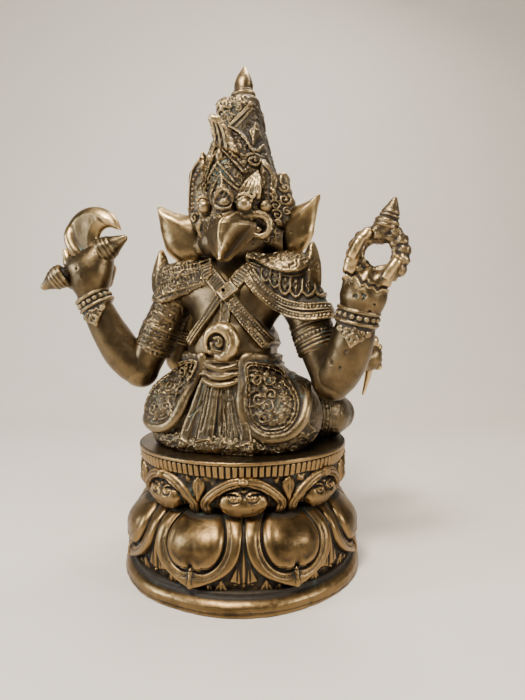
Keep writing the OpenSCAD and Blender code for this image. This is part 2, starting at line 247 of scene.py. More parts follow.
    def swell(self, low, high, amount):
        """Moves the surface out by amount(x, y, z) within a box."""
        cut, grids = self.window(np.asarray(low, float), np.asarray(high, float), 0)
        if cut is not None:
            self.d[cut] -= amount(*grids).astype(np.float32)
        return self


def sample(values, low, step, p):
    """Values of a grid at points, in a straight line between its corners."""
    g = (np.asarray(p) - low) / step
    top = np.array(values.shape) - 2
    i = np.clip(np.floor(g).astype(int), 0, top)
    f = np.clip(g - i, 0, 1)
    out = 0
    for corner in np.ndindex(2, 2, 2):
        x, y, z = (f[:, k] if corner[k] else 1 - f[:, k] for k in range(3))
        out = out + x * y * z * values[tuple((i + corner).T)]
    return out


def blur(values, cells, passes=2):
    """An even blur: a box of 2 * cells + 1 along each axis, passed over twice."""
    out = values.astype(np.float32)
    for _ in range(passes):
        for axis in range(values.ndim):
            pad = [(0, 0)] * values.ndim
            pad[axis] = (cells + 1, cells)
            run = np.cumsum(np.pad(out, pad, mode="edge"), axis=axis, dtype=np.float64)
            width = 2 * cells + 1
            hi = [slice(None)] * values.ndim
            lo = [slice(None)] * values.ndim
            hi[axis] = slice(width, None)
            lo[axis] = slice(0, -width)
            out = ((run[tuple(hi)] - run[tuple(lo)]) / width).astype(np.float32)
    return out


# The corners of a cell, and the pairs of them that an edge joins
CORNERS = [(0, 0, 0), (1, 0, 0), (0, 1, 0), (1, 1, 0), (0, 0, 1), (1, 0, 1), (0, 1, 1), (1, 1, 1)]
EDGES = [(a, b) for a in range(8) for b in range(a + 1, 8)
         if np.abs(np.subtract(CORNERS[a], CORNERS[b])).sum() == 1]


def skin(clay):
    """The surface of a clay block: one point per cell that the surface crosses, joined in quads."""
    d = clay.d
    n = np.array(d.shape)
    inside = d < 0
    count = np.zeros(tuple(n - 1), np.int8)
    for c in CORNERS:
        count += inside[c[0]:n[0] - 1 + c[0], c[1]:n[1] - 1 + c[1], c[2]:n[2] - 1 + c[2]]
    cells = np.argwhere((count > 0) & (count < 8))
    corner = np.stack([d[cells[:, 0] + c[0], cells[:, 1] + c[1], cells[:, 2] + c[2]] for c in CORNERS], axis=1)
    total, hits = np.zeros((len(cells), 3)), np.zeros(len(cells))
    place = np.array(CORNERS, float)
    for a, b in EDGES:
        cross = (corner[:, a] < 0) != (corner[:, b] < 0)
        t = corner[cross, a] / (corner[cross, a] - corner[cross, b])
        total[cross] += place[a] + t[:, None] * (place[b] - place[a])
        hits[cross] += 1
    verts = clay.low + clay.step * (cells + total / hits[:, None])
    index = np.full(tuple(n - 1), -1, np.int32)
    index[cells[:, 0], cells[:, 1], cells[:, 2]] = np.arange(len(cells))
    quads = []
    for axis in range(3):
        u, v = (axis + 1) % 3, (axis + 2) % 3
        lo = [slice(1, n[i] - 1) for i in range(3)]
        hi = list(lo)
        lo[axis], hi[axis] = slice(0, n[axis] - 1), slice(1, n[axis])
        change = inside[tuple(lo)] != inside[tuple(hi)]
        at = np.argwhere(change) + (np.arange(3) != axis)
        flip = inside[at[:, 0], at[:, 1], at[:, 2]]
        ring = []
        for du, dv in ((0, 0), (-1, 0), (-1, -1), (0, -1)):
            q = at.copy()
            q[:, u] += du
            q[:, v] += dv
            ring.append(index[q[:, 0], q[:, 1], q[:, 2]])
        quad = np.stack(ring, axis=1)
        quads.append(np.where(flip[:, None], quad[:, [0, 3, 2, 1]], quad[:, [1, 2, 3, 0]]))
    quads = np.vstack(quads)
    return verts, quads[(quads >= 0).all(axis=1)]


# ---------------------------------------------------------------- meshes, cavity values and painted shade

PIECES = []


class Shape:
    """A finished skin that waits for the painted shade map: vertices in millimetres, faces and its cavity
    values.
    """

    def __init__(self, name, node, slot, verts, faces, edge, hollow, solid, material):
        self.name, self.node, self.slot, self.material = name, node, slot, material
        self.verts, self.faces, self.edge, self.hollow, self.solid = verts, faces, edge, hollow, solid
        PIECES.append(self)


def cast(clay, node, material, slot="bronze_relief"):
    """Takes the skin off a clay block as the piece that stands for a node."""
    verts, faces = skin(clay)
    near = np.clip(clay.d, -2.0, 2.0)
    cells = max(round(0.9 / clay.step), 1)
    wide = max(round(2.6 / clay.step), 2)
    edge = sample(blur(near, cells), clay.low, clay.step, verts)
    hollow = sample(blur(near, wide), clay.low, clay.step, verts)
    return Shape(node + "_cast", node, slot, verts, faces, edge, hollow, clay, material)


def painted_shade_map():
    """How much metal surrounds each vertex of every piece, from one coarse grid over the whole object: the
    bronze paints shade from it.
    """
    step = 2.0
    low = np.min([s.verts.min(axis=0) for s in PIECES], axis=0) - 12
    high = np.max([s.verts.max(axis=0) for s in PIECES], axis=0) + 12
    n = np.ceil((high - low) / step).astype(int) + 1
    full = np.zeros(tuple(n), np.float32)
    for s in PIECES:
        a = np.maximum(((s.verts.min(axis=0) - low) / step).astype(int) - 1, 0)
        b = np.minimum(((s.verts.max(axis=0) - low) / step).astype(int) + 3, n)
        grid = np.stack(np.meshgrid(*[low[i] + step * np.arange(a[i], b[i]) for i in range(3)],
                                    indexing="ij"), axis=-1)
        d = s.solid.at(grid.reshape(-1, 3)).reshape(grid.shape[:3])
        box = tuple(slice(a[i], b[i]) for i in range(3))
        full[box] = np.maximum(full[box], np.clip(0.5 - d / (2 * step), 0, 1))
    return blur(full, 3), low, step


def mesh_normals(verts, faces):
    p = verts[faces]
    n = np.cross(p[:, 2] - p[:, 0], p[:, 3] - p[:, 1])
    out = np.zeros_like(verts)
    for i in range(4):
        for axis in range(3):
            out[:, axis] += np.bincount(faces[:, i], n[:, axis], len(verts))
    return unit(out)


def make(shape, painted_shade):
    """Makes the Blender mesh of a shape, with its cavity values as point attributes."""
    full, low, step = painted_shade
    # around: how much metal lies 5 mm out from each vertex, kept as a point attribute for the painted shade of
    # the bronze
    around = sample(full, low, step, shape.verts + 5.0 * mesh_normals(shape.verts, shape.faces))
    mesh = bpy.data.meshes.new(shape.name)
    mesh.vertices.add(len(shape.verts))
    mesh.vertices.foreach_set("co", (shape.verts * MM).astype(np.float32).ravel())
    mesh.loops.add(shape.faces.size)
    mesh.loops.foreach_set("vertex_index", shape.faces.astype(np.int32).ravel())
    mesh.polygons.add(len(shape.faces))
    mesh.polygons.foreach_set("loop_start", np.arange(0, shape.faces.size, 4, dtype=np.int32))
    mesh.update(calc_edges=True)
    mesh.validate()
    mesh.shade_smooth()
    for name, values in (("edge", shape.edge), ("hollow", shape.hollow), ("around", around)):
        layer = mesh.attributes.new(name, "FLOAT", "POINT")
        layer.data.foreach_set("value", np.asarray(values, np.float32))
    piece = bpy.data.objects.new(shape.name, mesh)
    bpy.context.scene.collection.objects.link(piece)
    mesh.materials.append(shape.material)
    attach(piece, "root")
    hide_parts(shape.node)
    return piece


# ---------------------------------------------------------------- relief drawn flat and pressed onto clay

class Board:
    """A flat drawing of relief heights over (u, v), which emboss() presses onto a clay surface."""

    def __init__(self, low, high, step=0.4):
        self.low, self.step = np.array(low, float), step
        n = np.ceil((np.array(high) - self.low) / step).astype(int) + 1
        self.u = (self.low[0] + step * np.arange(n[0]))[:, None]
        self.v = (self.low[1] + step * np.arange(n[1]))[None, :]
        self.h = np.zeros(tuple(n))
        self.top = np.zeros(tuple(n))

    def _near(self, points, pad):
        a = np.floor((points.min(axis=0) - pad - self.low) / self.step).astype(int)
        b = np.ceil((points.max(axis=0) + pad - self.low) / self.step).astype(int) + 1
        a, b = np.maximum(a, 0), np.minimum(b, self.h.shape)
        if (b <= a).any():
            return None
        return slice(a[0], b[0]), slice(a[1], b[1])

    def line(self, points, half, height, taper=False, cut=False):
        """A round raised line, or a groove; with taper it thins towards its end."""
        p = np.asarray(points, float)
        box = self._near(p, half + 0.5)
        if box is None:
            return self
        u, v = self.u[box[0]], self.v[:, box[1]]
        best = np.full((u.shape[0], v.shape[1]), 1e9)
        for i in range(len(p) - 1):
            du, dv = p[i + 1] - p[i]
            t = np.clip(((u - p[i, 0]) * du + (v - p[i, 1]) * dv) / (du * du + dv * dv + 1e-9), 0, 1)
            size = half * (1 - 0.75 * (i + t) / (len(p) - 1)) if taper else half
            wide = np.hypot(u - p[i, 0] - t * du, v - p[i, 1] - t * dv) / size
            best = np.minimum(best, wide)
        lump = height * np.sqrt(np.clip(1 - best * best, 0, 1))
        if cut:
            self.h[box] -= lump
        else:
            self.top[box] = np.maximum(self.top[box], lump)
        return self

    def pit(self, c, r, depth):
        """A round hollow."""
        return self.line([c, (c[0] + 0.2, c[1])], r, depth, cut=True)

    def dot(self, c, r, height):
        c = np.asarray(c, float)
        box = self._near(c[None], r)
        if box is not None:
            d = np.hypot(self.u[box[0]] - c[0], self.v[:, box[1]] - c[1]) / r
            self.top[box] = np.maximum(self.top[box], height * np.sqrt(np.clip(1 - d * d, 0, 1)))
        return self

    def beads(self, points, r, height, pitch):
        p = curve(points, max(int(length(points) / pitch) + 1, 2))
        for c in p:
            self.dot(c, r, height)
        return self

    def chain(self, points, width, height, pitch=None):
        """A band: an edge line on each side and beads between."""
        p = curve(points)
        for side in (-1, 1):
            self.line(beside(p, side * width / 2), 0.85, height)
        self.line(p, width / 2, height * 0.35)
        return self.beads(p, width * 0.24, height * 1.15, pitch or width * 0.55)

    def leaf(self, c, angle, long, wide, height):
        """A pointed leaf with a middle rib, growing from c at an angle in degrees."""
        a = math.radians(angle)
        along, side = np.array([math.cos(a), math.sin(a)]), np.array([-math.sin(a), math.cos(a)])
        for k in (-1, 1):
            rib = np.array([c + along * long * t + side * k * wide * math.sin(math.pi * min(t * 1.15, 1)) * 0.5
                            for t in np.linspace(0, 1, 7)])
            self.line(rib, wide * 0.24, height)
        return self.line(np.array([c, c + along * long]), wide * 0.2, height * 1.1)

    def spiral(self, c, r, turns, start, hand, half, height):
        """A scroll that winds in from radius r; start is in degrees and hand is 1 or -1."""
        t = np.linspace(0, 1, max(int(14 * turns), 8))
        a = math.radians(start) + hand * 2 * math.pi * turns * t
        size = r * (1 - 0.86 * t)
        return self.line(np.stack([c[0] + size * np.cos(a), c[1] + size * np.sin(a)], axis=1), half, height)

    def set(self, factor=1.0):
        """Fixes what was drawn since the last call on top of what was there."""
        self.h += self.top * factor
        self.top[:] = 0
        return self

    def plate(self, outline, height, edge=1.2):
        """Raises everything inside a closed outline."""
        p = np.asarray(outline, float)
        box = self._near(p, 2)
        u, v = self.u[box[0]], self.v[:, box[1]]
        d = signed(u, v, p)
        self.h[box] += height * smooth(-edge / 2, edge / 2, d)
        return self

    def inside(self, outline, edge=0.8):
        """How far every place is inside a closed outline, as 0 to 1."""
        return smooth(-edge / 2, edge / 2, signed(self.u, self.v, np.asarray(outline, float)))

    def foliage(self, outline, count, size, half, height, seed):
        """Fills an outline with small scrolls, leaves and beads."""
        p = np.asarray(outline, float)
        draw = np.random.default_rng(seed)
        kept = []
        low, high = p.min(axis=0), p.max(axis=0)
        for _ in range(count * 30):
            c = low + draw.random(2) * (high - low)
            if signed(c[0:1, None], c[1:2, None], p)[0, 0] < size * 0.55:
                continue
            if all(np.hypot(*(c - q)) > size * 1.25 for q in kept):
                kept.append(c)
            if len(kept) >= count:
                break
        for i, c in enumerate(kept):
            kind, turn = i % 3, draw.random() * 360
            if kind < 2:
                self.spiral(c, size * 0.72, 1.3, turn, 1 if kind else -1, half, height)
                way = np.array([math.cos(math.radians(turn)), math.sin(math.radians(turn))])
                self.leaf(c + size * 0.75 * way, turn + (80 if kind else -80), size * 0.9, size * 0.5,
                          height * 0.9)
            else:
                for k in range(5):
                    self.leaf(c, turn + 72 * k, size * 0.75, size * 0.42, height * 0.85)
                self.dot(c, size * 0.2, height * 1.3)
        return self

    def scribble(self, outline, count, long, half, height, seed):
        """Fills an outline with short bent strokes, as a modelling tool leaves them in wax."""
        p = np.asarray(outline, float)
        draw = np.random.default_rng(seed)
        spots = p.min(axis=0) + draw.random((count * 3, 2)) * (p.max(axis=0) - p.min(axis=0))
        inside = [c for c in spots if signed(c[0:1, None], c[1:2, None], p)[0, 0] > half][:count]
        for c in inside:
            turn, bend = draw.uniform(0, 2 * math.pi), draw.uniform(-1.4, 1.4)
            t = turn + bend * np.linspace(-0.5, 0.5, 5)
            step = long / 4 * draw.uniform(0.6, 1.3)
            walk = c + np.cumsum(np.stack([np.cos(t), np.sin(t)], axis=1) * step, axis=0)
            self.line(walk, half * draw.uniform(0.8, 1.25), height * draw.uniform(0.5, 1.1))
        return self


def signed(u, v, outline):
    """The distance from a closed outline, positive inside it."""
    p = np.vstack([outline, outline[:1]])
    best, odd = 1e9, np.zeros(np.broadcast(u, v).shape, bool)
    for (u0, v0), (u1, v1) in zip(p[:-1], p[1:]):
        du, dv = u1 - u0, v1 - v0
        t = np.clip(((u - u0) * du + (v - v0) * dv) / (du * du + dv * dv + 1e-9), 0, 1)
        best = np.minimum(best, (u - u0 - t * du) ** 2 + (v - v0 - t * dv) ** 2)
        odd ^= ((v0 > v) != (v1 > v)) & (u < (v - v0) / (dv if abs(dv) > 1e-9 else 1e-9) * du + u0)
    return np.sqrt(best) * np.where(odd, 1, -1)


def length(points):
    p = np.asarray(points, float)
    return float(np.linalg.norm(np.diff(p, axis=0), axis=1).sum())


def beside(points, distance):
    """A line moved sideways by a distance."""
    p = np.asarray(points, float)
    t = unit(np.gradient(p, axis=0))
    return p + distance * np.stack([-t[:, 1], t[:, 0]], axis=1)


def emboss(clay, board, place, reach=4.0):
    """Presses a board's relief onto clay. place(points) gives u, v and a weight for each point."""
    near = np.argwhere(np.abs(clay.d) < reach)
    p = clay.low + clay.step * near
    u, v, weight = place(p)
    g = np.stack([(u - board.low[0]) / board.step, (v - board.low[1]) / board.step], axis=1)
    top = np.array(board.h.shape) - 2
    i = np.clip(np.floor(g).astype(int), 0, top)
    f = np.clip(g - i, 0, 1)
    (i, j), (s, t) = i.T, f.T
    h = ((1 - s) * (1 - t) * board.h[i, j] + s * (1 - t) * board.h[i + 1, j]
         + (1 - s) * t * board.h[i, j + 1] + s * t * board.h[i + 1, j + 1])
    clay.d[near[:, 0], near[:, 1], near[:, 2]] -= (h * weight).astype(np.float32)


def from_rear(limit):
    """Relief seen from the rear, on what lies behind y = limit."""
    return lambda p: (p[:, 0], p[:, 2], smooth(limit + 4, limit - 4, p[:, 1]))


def from_front(limit):
    return lambda p: (p[:, 0], p[:, 2], smooth(limit - 4, limit + 4, p[:, 1]))


def right_through(p):
    """Relief seen from the rear, on the front as well."""
    return p[:, 0], p[:, 2], np.ones(len(p))


def around(a, b, size, start=(0, -1, 0)):
    """Relief wrapped round the line from a to b: u runs round from start at radius size, v along it."""
    a, b = np.asarray(a, float), np.asarray(b, float)
    axis = unit(b - a)
    first = unit(np.asarray(start, float) - axis * float(np.dot(start, axis)))
    second = np.cross(axis, first)

    def place(p):
        q = p - a
        return np.arctan2(q @ second, q @ first) * size, q @ axis, np.ones(len(p))
    return place


def dot(q, way):
    return q[0] * way[0] + q[1] * way[1] + q[2] * way[2]


def cylinder(q, axis):
    """The height of offsets q along an axis, and their distance from it."""
    along = dot(q, axis)
    return along, np.sqrt(np.maximum(dot(q, q) - along * along, 0))


def roughen(clay, amount, cells, seed):
    """Handmade unevenness of the whole surface."""
    draw = np.random.default_rng(seed)
    shape = tuple(max(int(n * clay.step / cells), 2) + 2 for n in clay.d.shape)
    coarse = draw.normal(size=shape).astype(np.float32)
    near = np.argwhere(np.abs(clay.d) < 3)
    wave = sample(coarse, 0, 1.0, near * clay.step / cells)
    clay.d[near[:, 0], near[:, 1], near[:, 2]] += (amount * wave).astype(np.float32)


# ---------------------------------------------------------------- bronze

class Nodes:
    """Short calls for building a material's node tree."""

    def __init__(self, name):
        self.material = bpy.data.materials.new(name)
        self.material.use_nodes = True
        self.tree = self.material.node_tree
        self.tree.nodes.clear()

    def add(self, kind, **settings):
        node = self.tree.nodes.new(kind)
        for key, value in settings.items():
            if key.startswith("in_"):
                node.inputs[key[3:].replace("_", " ")].default_value = value
            else:
                setattr(node, key, value)
        return node

    def link(self, a, b):
        self.tree.links.new(a, b)

    def value(self, name):
        return self.add("ShaderNodeAttribute", attribute_name=name).outputs["Fac"]

    def math(self, operation, a, b=0.0, c=0.0):
        node = self.add("ShaderNodeMath", operation=operation)
        for i, v in enumerate((a, b, c)):
            if isinstance(v, (int, float)):
                node.inputs[i].default_value = v
            else:
                self.link(v, node.inputs[i])
        return node.outputs[0]

    def span(self, x, low, high, to_low=0.0, to_high=1.0):
        node = self.add("ShaderNodeMapRange", interpolation_type="SMOOTHSTEP")
        self.link(x, node.inputs["Value"])
        for key, v in (("From Min", low), ("From Max", high), ("To Min", to_low), ("To Max", to_high)):
            node.inputs[key].default_value = v
        return node.outputs["Result"]

    def mix(self, factor, a, b, blend="MIX"):
        node = self.add("ShaderNodeMix", data_type="RGBA", blend_type=blend)
        if isinstance(factor, (int, float)):
            node.inputs[0].default_value = factor
        else:
            self.link(factor, node.inputs[0])
        for i, v in ((6, a), (7, b)):
            if isinstance(v, tuple):
                node.inputs[i].default_value = (*v, 1)
            else:
                self.link(v, node.inputs[i])
        return node.outputs[2]

    def noise(self, scale, detail=3.0, rough=0.55):
        place = self.add("ShaderNodeTexCoord").outputs["Object"]
        node = self.add("ShaderNodeTexNoise", in_Scale=scale, in_Detail=detail, in_Roughness=rough)
        self.link(place, node.inputs["Vector"])
        return node.outputs["Fac"]

    def done(self, shader):
        self.link(shader.outputs["BSDF"], self.add("ShaderNodeOutputMaterial").inputs["Surface"])
        return self.material

    def pits(self, scale, size):
        place = self.add("ShaderNodeTexCoord").outputs["Object"]
        node = self.add("ShaderNodeTexVoronoi", in_Scale=scale)
        self.link(place, node.inputs["Vector"])
        return self.span(node.outputs["Distance"], size * 0.4, size, 1.0, 0.0)


def bronze(name, mid, bright, dark, rough=0.34, green=0.35, grain=0.25, polish=0.5, rubbed=0.8):
    """Aged cast bronze: bright where hands rub its edges, dark in its hollows, with traces of green, and
    painted shade where other parts close round it.
    """
    m = Nodes(name)
    edge, hollow, around = m.value("edge"), m.value("hollow"), m.value("around")
    cloud, fine, speck = m.noise(34, 5, 0.62), m.noise(300, 4, 0.6), m.noise(1100, 3)
    uneven = m.math("MULTIPLY_ADD", fine, 0.30, -0.15)
    rub = m.span(m.math("ADD", edge, uneven), 0.04, 0.34)
    worn = m.span(m.math("MULTIPLY_ADD", cloud, 0.8, m.math("MULTIPLY", hollow, 0.55)), 0.36, 0.72)
    crease = m.span(m.math("ADD", edge, uneven), 0.04, -0.18)
    deep = m.span(m.math("ADD", hollow, uneven), 0.08, -0.38)
    # Painted shade: the colour darkens where other metal closes round the surface (the around value), not the
    # metal or its gloss
    shade = m.span(m.math("MULTIPLY_ADD", cloud, 0.30, around), 0.54, 0.95)
    color = m.mix(m.span(cloud, 0.38, 0.60), tuple(v * 0.5 for v in mid), mid)
    color = m.mix(m.math("MULTIPLY", worn, polish), color, bright)
    color = m.mix(m.math("MULTIPLY", rub, rubbed), color, bright)
    soil = m.math("MAXIMUM", crease, m.math("MULTIPLY", deep, 0.9))
    # The soil of creases and hollows and the painted shade darken the colour together
    soil_and_painted_shade = m.math("MAXIMUM", soil, m.math("MULTIPLY", shade, 0.80))
    color = m.mix(m.math("MULTIPLY", soil_and_painted_shade, 0.93), color, dark)
    spots = m.math("MULTIPLY", m.pits(190, 0.15), m.span(m.noise(60, 2), 0.52, 0.64))
    color = m.mix(m.math("MULTIPLY", spots, 0.85), color, tuple(v * 0.4 for v in dark))
    patches = m.math("MULTIPLY", m.span(m.noise(52, 5, 0.7), 0.55, 0.68), m.span(soil, 0.2, 0.8))
    patina = m.math("MULTIPLY", patches, green)
    color = m.mix(patina, color, (0.085, 0.15, 0.135))
    crust = m.math("MAXIMUM", m.math("MULTIPLY", soil, 0.55), patina)
    metal = m.math("SUBTRACT", 1.0, m.math("MULTIPLY", crust, 0.9))
    gloss = m.math("ADD", m.math("MULTIPLY_ADD", fine, 0.26, rough - 0.14), m.math("MULTIPLY", soil, 0.25))
    shader = m.add("ShaderNodeBsdfPrincipled")
    m.link(color, shader.inputs["Base Color"])
    m.link(metal, shader.inputs["Metallic"])
    m.link(gloss, shader.inputs["Roughness"])
    pitted = m.math("MULTIPLY_ADD", speck, 0.35, m.math("MULTIPLY", spots, -1.6))
    height = m.math("ADD", m.math("MULTIPLY", fine, 0.8), pitted)
    bump = m.add("ShaderNodeBump", in_Strength=grain, in_Distance=0.0008)
    m.link(height, bump.inputs["Height"])
    m.link(bump.outputs["Normal"], shader.inputs["Normal"])
    return m.done(shader)


SMOOTH = bronze("smooth_bronze", (0.300, 0.205, 0.096), (0.66, 0.47, 0.23), (0.026, 0.019, 0.013),
                rough=0.36, green=0.5)
RELIEF = bronze("relief_bronze", (0.270, 0.192, 0.096), (0.60, 0.44, 0.23), (0.015, 0.012, 0.010),
                rough=0.36, green=0.5, grain=0.6, polish=0.40, rubbed=0.56)
DARK = bronze("dark_bronze", (0.105, 0.075, 0.044), (0.40, 0.29, 0.15), (0.012, 0.010, 0.008),
              rough=0.38, green=0.3, grain=0.5, polish=0.22, rubbed=0.5)
BASE = bronze("pedestal_bronze", (0.095, 0.061, 0.028), (0.37, 0.235, 0.098), (0.012, 0.009, 0.006),
              rough=0.37, green=0.4, polish=0.36, rubbed=0.40)


# ---------------------------------------------------------------- floor, light and camera

def stage_material():
    m = Nodes("plain_floor")
    shader = m.add("ShaderNodeBsdfPrincipled", in_Roughness=0.6)
    tint = m.mix(m.noise(9, 4), (0.68, 0.625, 0.555), (0.73, 0.675, 0.605))
    m.link(tint, shader.inputs["Base Color"])
    return m.done(shader)


def floor():
    """A pale sweep: flat under the statue and curved up behind it."""
    reach, bend, radius = 3.0, 0.55, 0.5
    run = [(-reach, 0.0), (bend, 0.0)]
    run += [(bend + radius * math.sin(a), radius - radius * math.cos(a))
            for a in np.linspace(0, math.pi / 2, 13)[1:]]
    run += [(bend + radius, reach)]
    turn = Matrix.Rotation(CAMERA_TURN, 3, "Z")
    verts = [turn @ Vector((x, y, z)) for y, z in run for x in (-reach, reach)]
    faces = [(2 * i, 2 * i + 1, 2 * i + 3, 2 * i + 2) for i in range(len(run) - 1)]
    mesh = bpy.data.meshes.new("floor")
    mesh.from_pydata(verts, [], faces)
    mesh.shade_smooth()
    mesh.materials.append(stage_material())
    piece = bpy.data.objects.new("floor", mesh)
    bpy.context.scene.collection.objects.link(piece)


def lamp(name, place, aim, size, power, color):
    light = bpy.data.lights.new(name, "AREA")
    light.shape, light.size, light.energy, light.color = "DISK", size, power, color
    item = bpy.data.objects.new(name, light)
    item.location = place
    item.rotation_euler = (Vector(aim) - Vector(place)).to_track_quat("-Z", "Y").to_euler()
    bpy.context.scene.collection.objects.link(item)


def lights():
    turn = Matrix.Rotation(CAMERA_TURN, 3, "Z")
    for name, place, size, power, color in (
            ("key", (-0.35, -0.75, 1.25), 0.34, 34, (1.0, 0.93, 0.82)),
            ("fill", (1.15, -0.75, 0.55), 0.30, 10, (0.97, 0.95, 0.92)),
            ("side", (-1.2, -0.35, 0.45), 0.4, 13, (0.85, 0.92, 1.0)),
            ("back", (0.35, 0.35, 1.45), 0.6, 12, (1.0, 0.93, 0.84))):
        lamp(name, turn @ Vector(place), (0, 0, 0.2), size, power, color)
    world = bpy.data.worlds.new("soft_room")
    world.use_nodes = True
    tree = world.node_tree
    place = tree.nodes.new("ShaderNodeTexCoord")
    split = tree.nodes.new("ShaderNodeSeparateXYZ")
    ramp = tree.nodes.new("ShaderNodeMapRange")
    tree.links.new(place.outputs["Generated"], split.inputs[0])
    tree.links.new(split.outputs["Z"], ramp.inputs["Value"])
    for key, value in (("From Min", -0.2), ("From Max", 0.9), ("To Min", 0.05), ("To Max", 0.24)):
        ramp.inputs[key].default_value = value
    tree.links.new(ramp.outputs["Result"], tree.nodes["Background"].inputs[1])
    tree.nodes["Background"].inputs[0].default_value = (0.90, 0.83, 0.74, 1)
    bpy.context.scene.world = world


# The camera stands 18 degrees round from the rear, level with the waist, and looks a little past the axis
CAMERA_TURN = math.radians(18)
CAMERA_DISTANCE = 0.3823
CAMERA_HEIGHT = 0.1765
CAMERA_YAW, CAMERA_PITCH = math.radians(15.67), math.radians(-1.472)
LENS = 24.02


def camera():
    data = bpy.data.cameras.new("camera")
    data.lens, data.sensor_width, data.clip_start = LENS, 36, 0.01
    item = bpy.data.objects.new("camera", data)
    item.location = (CAMERA_DISTANCE * math.sin(CAMERA_TURN), -CAMERA_DISTANCE * math.cos(CAMERA_TURN),
                     CAMERA_HEIGHT)
    level = math.cos(CAMERA_PITCH)
    aim = Vector((-math.sin(CAMERA_YAW) * level, math.cos(CAMERA_YAW) * level, math.sin(CAMERA_PITCH)))
    item.rotation_euler = aim.to_track_quat("-Z", "Y").to_euler()
    bpy.context.scene.collection.objects.link(item)
    bpy.context.scene.camera = item


# ---------------------------------------------------------------- pedestal

COLUMNS = 1160
ROW = 0.6
PETALS = 8
TEETH = 116
ANGLE = np.linspace(0, 2 * math.pi, COLUMNS, endpoint=False)
REAR = -math.pi / 2 + CAMERA_TURN


def from_petal(centre, radius):
    """Arc length from the nearest petal's middle line, for every column."""
    pitch = 2 * math.pi / PETALS
    return ((ANGLE - centre + pitch / 2) % pitch - pitch / 2) * radius


def away(x, z, line):
    """The distance of every point of a map from a drawn line."""
    best = np.full(np.broadcast(x, z).shape, 1e9)
    for (x0, z0), (x1, z1) in zip(line[:-1], line[1:]):
        dx, dz = x1 - x0, z1 - z0
        t = np.clip(((x - x0) * dx + (z - z0) * dz) / (dx * dx + dz * dz + 1e-9), 0, 1)
        best = np.minimum(best, (x - x0 - t * dx) ** 2 + (z - z0 - t * dz) ** 2)
    return np.sqrt(best)


def roll(distance, half, height):
    """A round raised line."""
    return height * np.sqrt(np.clip(1 - (distance / half) ** 2, 0, 1))


def ripple(shape, cells, amount):
    """Handmade unevenness, which closes on itself round the casting."""
    rough = np.tile(rng.normal(size=shape), (1, 3))
    even = blur(rough, cells)[:, shape[1]:2 * shape[1]]
    return amount * even / (even.std() + 1e-9)


def within(x, z, outline):
    """Distance from an outline, positive inside it; the outline's x is a half width at each z."""
    order = np.argsort(outline[:, 1])
    half = np.interp(z, outline[order, 1], outline[order, 0], left=-1, right=-1)
    return np.where(x < half, 1, -1) * away(x, z, outline)


def dome(depth, reach, height):
    """A round swelling that is full height at reach inside its outline."""
    return height * np.sqrt(np.clip(1 - (1 - np.clip(depth / reach, 0, 1)) ** 2, 0, 1))


class Turned:
    """A turned casting. radius has a row for each height and a column for each angle."""

    def __init__(self, heights, radius):
        self.z, self.r = heights, radius

    def at(self, p):
        column = (np.arctan2(p[:, 1], p[:, 0]) / (2 * math.pi) * COLUMNS).astype(int) % COLUMNS
        row = np.clip(np.interp(p[:, 2], self.z, np.arange(len(self.z))), 0, len(self.z) - 1).astype(int)
        side = np.hypot(p[:, 0], p[:, 1]) - self.r[row, column]
        return np.maximum(side, np.maximum(self.z[0] - p[:, 2], p[:, 2] - self.z[-1]))

    def cast(self, node, closing, slot="bronze_pedestal"):
        """closing lists (radius, height) rings that close the casting round the back, from top to bottom."""
        rows = list(zip(self.r, self.z)) + [(np.full(COLUMNS, r), z) for r, z in closing]
        verts = np.concatenate([np.stack([r * np.cos(ANGLE), r * np.sin(ANGLE), np.full(COLUMNS, z)], axis=1)
                                for r, z in rows])
        n = len(rows)
        i, j = np.meshgrid(np.arange(n), np.arange(COLUMNS), indexing="ij")
        a, b = (i + 1) % n, (j + 1) % COLUMNS
        faces = np.stack([i * COLUMNS + j, i * COLUMNS + b, a * COLUMNS + b, a * COLUMNS + j],
                         axis=-1).reshape(-1, 4)
        wide = np.tile(self.r, (1, 3))
        edge = (self.r - blur(wide, 2)[:, COLUMNS:2 * COLUMNS]) * 0.8
        hollow = (self.r - blur(wide, 6)[:, COLUMNS:2 * COLUMNS]) * 0.7
        rest = np.zeros(len(closing) * COLUMNS)
        return Shape(node + "_cast", node, slot, verts, faces,
                     np.concatenate([np.clip(edge, -2, 2).ravel(), rest]),
                     np.concatenate([np.clip(hollow, -2, 2).ravel(), rest]), self, BASE)


def heights(low, high):
    return np.linspace(low, high, int(round((high - low) / ROW)) + 1)


def sweep(z, heights, radii):
    """A radius for each height along a smooth profile."""
    line = curve(list(zip(radii, heights)), 90)
    return np.interp(z, line[:, 1], line[:, 0])


def base_ring():
    reach, _, tall = (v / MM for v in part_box("base_ring")[1])
    z = heights(0, tall)
    out = np.interp(z, [0, 0.8, 3, 6.3, 8.0, 9.3, 10.4, 12], [0.5, 1.3, 1.3, 0.6, -0.6, -2.2, -4.2, -4.8])
    r = reach + out[:, None] + ripple((len(z), COLUMNS), 26, 0.35) + ripple((len(z), COLUMNS), 3, 0.08)
    r -= roll(np.abs(z[:, None] - 2.6 - ripple((1, COLUMNS), 40, 0.5)), 0.8, 0.35)
    Turned(z, np.minimum(r, reach + 1.9)).cast("base_ring", [(reach - 14, tall), (reach - 14, 0)],
                                               "bronze_smooth")


